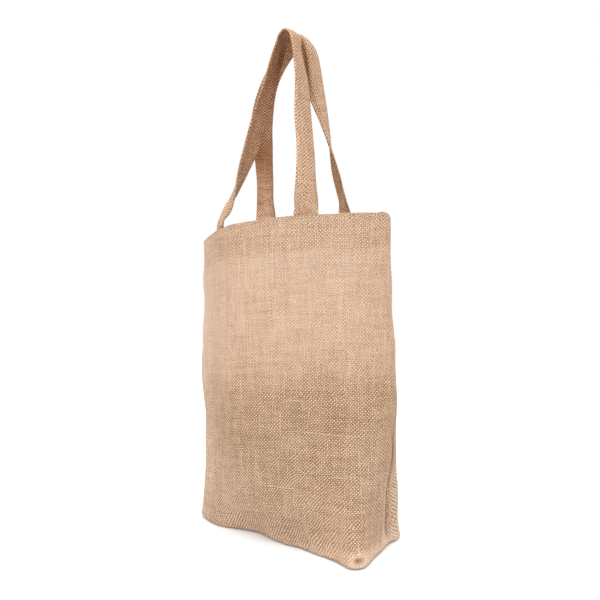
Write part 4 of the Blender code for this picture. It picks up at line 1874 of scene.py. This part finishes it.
@dataclass(frozen=True)
class SeamAllowance:
    """The two raw edges of the panels, pressed to one side against the wall inside the bag."""

    name: str
    wall: Wall
    seam: float
    width: float = 0.009
    depth: float = 0.0025
    clearance: float = 0.0015
    bottom: float = 0.030
    top: float = 0.878
    rows: int = 120
    columns: int = 6
    frayed: Tuple[Wave, ...] = ((0.0006, 210.0, 0.0), (0.0004, 467.0, 0.0))
    edge_bulge: float = 0.12
    wall_tone: float = 0.85
    inner_tone: float = 0.95
    coarse: float = 0.9

    def build(self) -> bpy.types.Object:
        """Build the strip as a closed skin.

        Returns:
            The strip as one mesh object.
        """
        heights = np.linspace(self.bottom, self.top, self.rows)[:, None]
        across = np.linspace(0.0, 1.0, self.columns)[None, :]
        around = self.seam + across * (self.width + wavy(0.0, heights, self.frayed))
        direction = self.wall.outward(around, heights)
        outer = self.wall.at(around, heights) - direction * self.clearance
        swell = np.sin(np.pi * (self.edge_bulge + (1.0 - 2 * self.edge_bulge) * across)) ** 0.5
        bulge = self.depth * swell * np.ones_like(heights)
        mesh = ClothMesh(self.name)
        outer_numbers = mesh.add_points(outer, self.wall_tone, self.coarse)
        inner_numbers = mesh.add_points(outer - direction * bulge[..., None], self.inner_tone, self.coarse)
        places = np.stack(np.broadcast_arrays(around, heights * WALL_HEIGHT), axis=-1)
        mesh.add_quads(outer_numbers, places)
        mesh.add_quads(inner_numbers, places, turned=True)
        sides = (np.s_[:, 0], False), (np.s_[:, -1], True), (np.s_[0], True), (np.s_[-1], False)
        for side, turned in sides:
            pair = np.stack((inner_numbers[side], outer_numbers[side]), axis=1)
            mesh.add_quads(pair, np.stack((places[side], places[side]), axis=1), turned=turned)
        return mesh.build()


@dataclass(frozen=True)
class Slub:
    """A thick place of one yarn: where it starts and ends round the bag and up it, and its thickness."""

    start: float
    end: float
    low: float
    high: float
    thickness: float


@dataclass(frozen=True)
class Slubs:
    """All the slubs, which stand out of the weave as pale soft lines."""

    wall: Wall
    plain: Tuple[Slub, ...] = (
        Slub(0.1880, 0.1180, 0.178, 0.185, 0.00070),
        Slub(0.0760, 0.0420, 0.232, 0.230, 0.00065),
        Slub(0.1320, 0.0300, 0.358, 0.352, 0.00050),
        Slub(0.2160, 0.1980, 0.101, 0.099, 0.00065),
    )
    seed: int = 11
    count: int = 70
    heights: Tuple[float, float] = (0.03, 0.98)
    highest: float = 0.99
    lengths: Tuple[float, float] = (0.008, 0.030)
    upright_share: float = 0.35
    upright_drift: float = 0.0003
    upright_stretch: float = 1.6
    upright_thickness: Tuple[float, float] = (0.0003, 0.0005)
    level_thickness: Tuple[float, float] = (0.0003, 0.00055)
    row_step: float = 0.002
    fewest_rows: int = 8
    sides: int = 6
    wander: Tuple[Wave, ...] = ((0.0002, 9.0, 0.0),)
    uneven: Tuple[Wave, ...] = ((0.3, 25.0, 0.0),)
    tip: float = 0.02
    taper: float = 0.6
    flatness: float = 0.7
    map_width: float = 0.0005
    tone: float = 1.06
    coarse: float = 0.2

    def runs(self) -> List[Slub]:
        """Give the slubs: the plain ones first, then chance ones.

        Returns:
            The slubs.
        """
        runs = list(self.plain)
        chance = np.random.default_rng(self.seed)
        for _ in range(self.count):
            start = chance.uniform(0.0, LOOP)
            height = chance.uniform(*self.heights)
            length = chance.uniform(*self.lengths)
            if chance.random() < self.upright_share:
                high = height + length * self.upright_stretch
                thickness = chance.uniform(*self.upright_thickness)
                runs.append(Slub(start, start + self.upright_drift, height, high, thickness))
            else:
                thickness = chance.uniform(*self.level_thickness)
                runs.append(Slub(start, start + length, height, height, thickness))
        return runs

    def add_strand(self, mesh: ClothMesh, slub: Slub) -> None:
        """Add one slub as a tapered strand half sunk in the cloth.

        Args:
            mesh: the piece.
            slub: the slub.
        """
        length = abs(slub.end - slub.start) + abs(slub.high - slub.low) * WALL_HEIGHT
        share = np.linspace(0.0, 1.0, max(self.fewest_rows, round(length / self.row_step)))
        around = wavy(slub.start + (slub.end - slub.start) * share, share, self.wander)
        up = np.clip(slub.low + (slub.high - slub.low) * share, 0.0, self.highest)
        middle = self.wall.at(around, up)
        outer = self.wall.outward(around, up)
        along = np.gradient(middle, axis=0)
        along = along / np.linalg.norm(along, axis=1, keepdims=True)
        side = np.cross(along, outer)
        swell = np.sin(np.pi * (self.tip + (1.0 - 2 * self.tip) * share)) ** self.taper
        radius = slub.thickness * (swell * wavy(1.0, share, self.uneven))
        turns = np.linspace(0.0, 2 * math.pi, self.sides + 1)[None, :, None]
        ring = (middle[:, None] + radius[:, None, None]
                * (side[:, None] * np.cos(turns) + outer[:, None] * np.sin(turns) * self.flatness))
        numbers = mesh.add_points(ring[:, :-1], self.tone, self.coarse)
        closed = np.concatenate((numbers, numbers[:, :1]), axis=1)
        places = np.stack(np.broadcast_arrays(around[:, None], turns[..., 0] * self.map_width), axis=-1)
        mesh.add_quads(closed, places, turned=True)
        mesh.add_face(numbers[0], places[0, :-1])
        mesh.add_face(numbers[-1, ::-1], places[-1, :-1])

    def build(self) -> bpy.types.Object:
        """Build all the slubs.

        Returns:
            The slubs as one mesh object.
        """
        mesh = ClothMesh("slubs")
        for slub in self.runs():
            self.add_strand(mesh, slub)
        return mesh.build()


@dataclass(frozen=True)
class SoftLight:
    """A square soft light."""

    name: str
    place: Point
    size: float
    power: float

    def hang(self, aim: Point) -> None:
        """Hang the light so that it looks at a point.

        Args:
            aim: the point.
        """
        data = bpy.data.lights.new(self.name, "AREA")
        data.size = self.size
        data.energy = self.power
        light = linked(self.name, data)
        light.location = self.place
        light.rotation_euler = (Vector(aim) - Vector(self.place)).to_track_quat("-Z", "Y").to_euler()


@dataclass
class Studio:
    """The floor, the light and the camera."""

    floor_size: float = 3.2
    floor_drop: float = 0.0004
    floor_paint: Paint = Paint("floor_paint", (0.80, 0.80, 0.80))
    sky: Colour = (1.0, 1.0, 1.0)
    sky_strength: float = 1.0
    aim: Point = (0.0, 0.0, 0.25)
    lights: Tuple[SoftLight, ...] = (
        SoftLight("top light", (0.10, 0.10, 2.60), 1.4, 52.0),
        SoftLight("key", (0.10, -2.2, 1.9), 1.8, 30.0),
        SoftLight("right fill", (2.4, 0.5, 1.2), 1.6, 9.0),
    )
    camera_place: Point = (0.5066, -0.6753, 0.350)
    camera_turn: Point = (87.0, 0.0, 36.0)
    lens: float = 37.2

    def build(self) -> None:
        """Set the stage."""
        self.add_floor()
        self.add_world()
        for light in self.lights:
            light.hang(self.aim)
        self.add_camera()
        bpy.context.scene.view_settings.view_transform = "Standard"

    def add_floor(self) -> None:
        """Lay a plain pale floor, a little below the bag's base."""
        half = self.floor_size / 2
        mesh = bpy.data.meshes.new("floor")
        corners = [(-half, -half, 0.0), (half, -half, 0.0), (half, half, 0.0), (-half, half, 0.0)]
        mesh.from_pydata(corners, [], [(0, 1, 2, 3)])
        mesh.materials.append(self.floor_paint.make())
        floor = linked("floor", mesh)
        floor.location.z = -self.floor_drop

    def add_world(self) -> None:
        """Surround the stage with even white light."""
        world = bpy.data.worlds.new("studio")
        world.use_nodes = True
        back = world.node_tree.nodes["Background"]
        back.inputs["Color"].default_value = (*self.sky, 1.0)
        back.inputs["Strength"].default_value = self.sky_strength
        bpy.context.scene.world = world

    def add_camera(self) -> None:
        """Stand the camera where it sees the front panel and the right side."""
        data = bpy.data.cameras.new("camera")
        data.lens = self.lens
        camera = linked("camera", data)
        camera.location = self.camera_place
        camera.rotation_euler = [math.radians(turn) for turn in self.camera_turn]
        bpy.context.scene.camera = camera


@dataclass(frozen=True)
class ToteBag:
    """The whole bag: its cloth and its two handles."""

    wall: Wall
    cloth_finish: JuteCloth = JuteCloth("jute_cloth")
    strap_finish: JuteCloth = JuteCloth(
        "jute_strap", pitch=0.0023, tint=(0.98, 0.93, 0.88), painted_inner_shade=(1.00, 0.82, 0.70),
        inner_contrast=1.6, weft_top_painted_light=0.28, lean=0.36, lean_way=-1.0, grit=1.9)
    fibre_finish: Paint = Paint("jute_fibre", (0.66, 0.49, 0.35))
    cloth_fuzz: float = 3000.0
    strap_fuzz: float = 7000.0
    strap_fibre: float = 0.005

    def build(self) -> List[bpy.types.Object]:
        """Build and dress every piece.

        Returns:
            The pieces.
        """
        jute = self.cloth_finish.make()
        strap_jute = self.strap_finish.make()
        fibre = self.fibre_finish.make()
        return self.add_cloth(jute, fibre) + self.add_handles(strap_jute, fibre)

    def add_cloth(self, jute: bpy.types.Material, fibre: bpy.types.Material) -> List[bpy.types.Object]:
        """Build the bag's cloth with all that is sewn to it or stands on it.

        Args:
            jute: the cloth's finish.
            fibre: the loose fibres' finish.

        Returns:
            The cloth and its details.
        """
        cloth = BagCloth(self.wall).build()
        self.dress(cloth, "bag_body", jute)
        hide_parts("bag_body")
        details = Sewing(self.wall).build()
        details.append(Fuzz("bag_fuzz", density=self.cloth_fuzz).build(cloth, fibre))
        for detail in details:
            self.dress(detail, "bag_body")
        for piece in (SeamAllowance("right_seam_allowance", self.wall, 0.0).build(),
                      SeamAllowance("left_seam_allowance", self.wall, PANEL).build(),
                      Slubs(self.wall).build()):
            self.dress(piece, "bag_body", jute)
            details.append(piece)
        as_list(details)
        return [cloth, *details]

    def add_handles(self, jute: bpy.types.Material, fibre: bpy.types.Material) -> List[bpy.types.Object]:
        """Build both handles.

        Args:
            jute: the straps' finish.
            fibre: the loose fibres' finish.

        Returns:
            The straps and their fibres.
        """
        pieces = []
        for handle in (
                Strap("front_strap", "front_handle", self.wall, FRONT_HANDLE, FRONT_FEET,
                      FRONT_CURLS, FRONT_PAINTED_LIGHT),
                Strap("back_strap", "back_handle", self.wall, BACK_HANDLE, BACK_FEET,
                      BACK_CURLS, BACK_PAINTED_LIGHT)):
            strap = handle.build()
            self.dress(strap, handle.node, jute)
            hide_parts(handle.node)
            fuzz = Fuzz(handle.name + "_fuzz", density=self.strap_fuzz, longest=self.strap_fibre)
            hairs = fuzz.build(strap, fibre)
            self.dress(hairs, handle.node)
            pieces += strap, hairs
        return pieces

    def dress(self, piece: bpy.types.Object, slot: str,
              material: Optional[bpy.types.Material] = None) -> None:
        """Give a piece its finish and fix it to the bag.

        Args:
            piece: the piece.
            slot: the solid whose place it takes; it is not used.
            material: its finish, where it hasn't one yet.
        """
        if material is not None:
            piece.data.materials.append(material)
        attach(piece, "root")


def main() -> None:
    """Load the solids, build the looks and report each piece."""
    logging.basicConfig(level=logging.INFO, format="%(name)s: %(message)s")
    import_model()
    pieces = ToteBag(Wall()).build()
    Studio().build()
    for piece in pieces:
        LOG.info("%s: %d faces", piece.name, len(piece.data.polygons))


if __name__ == "__main__":
    main()
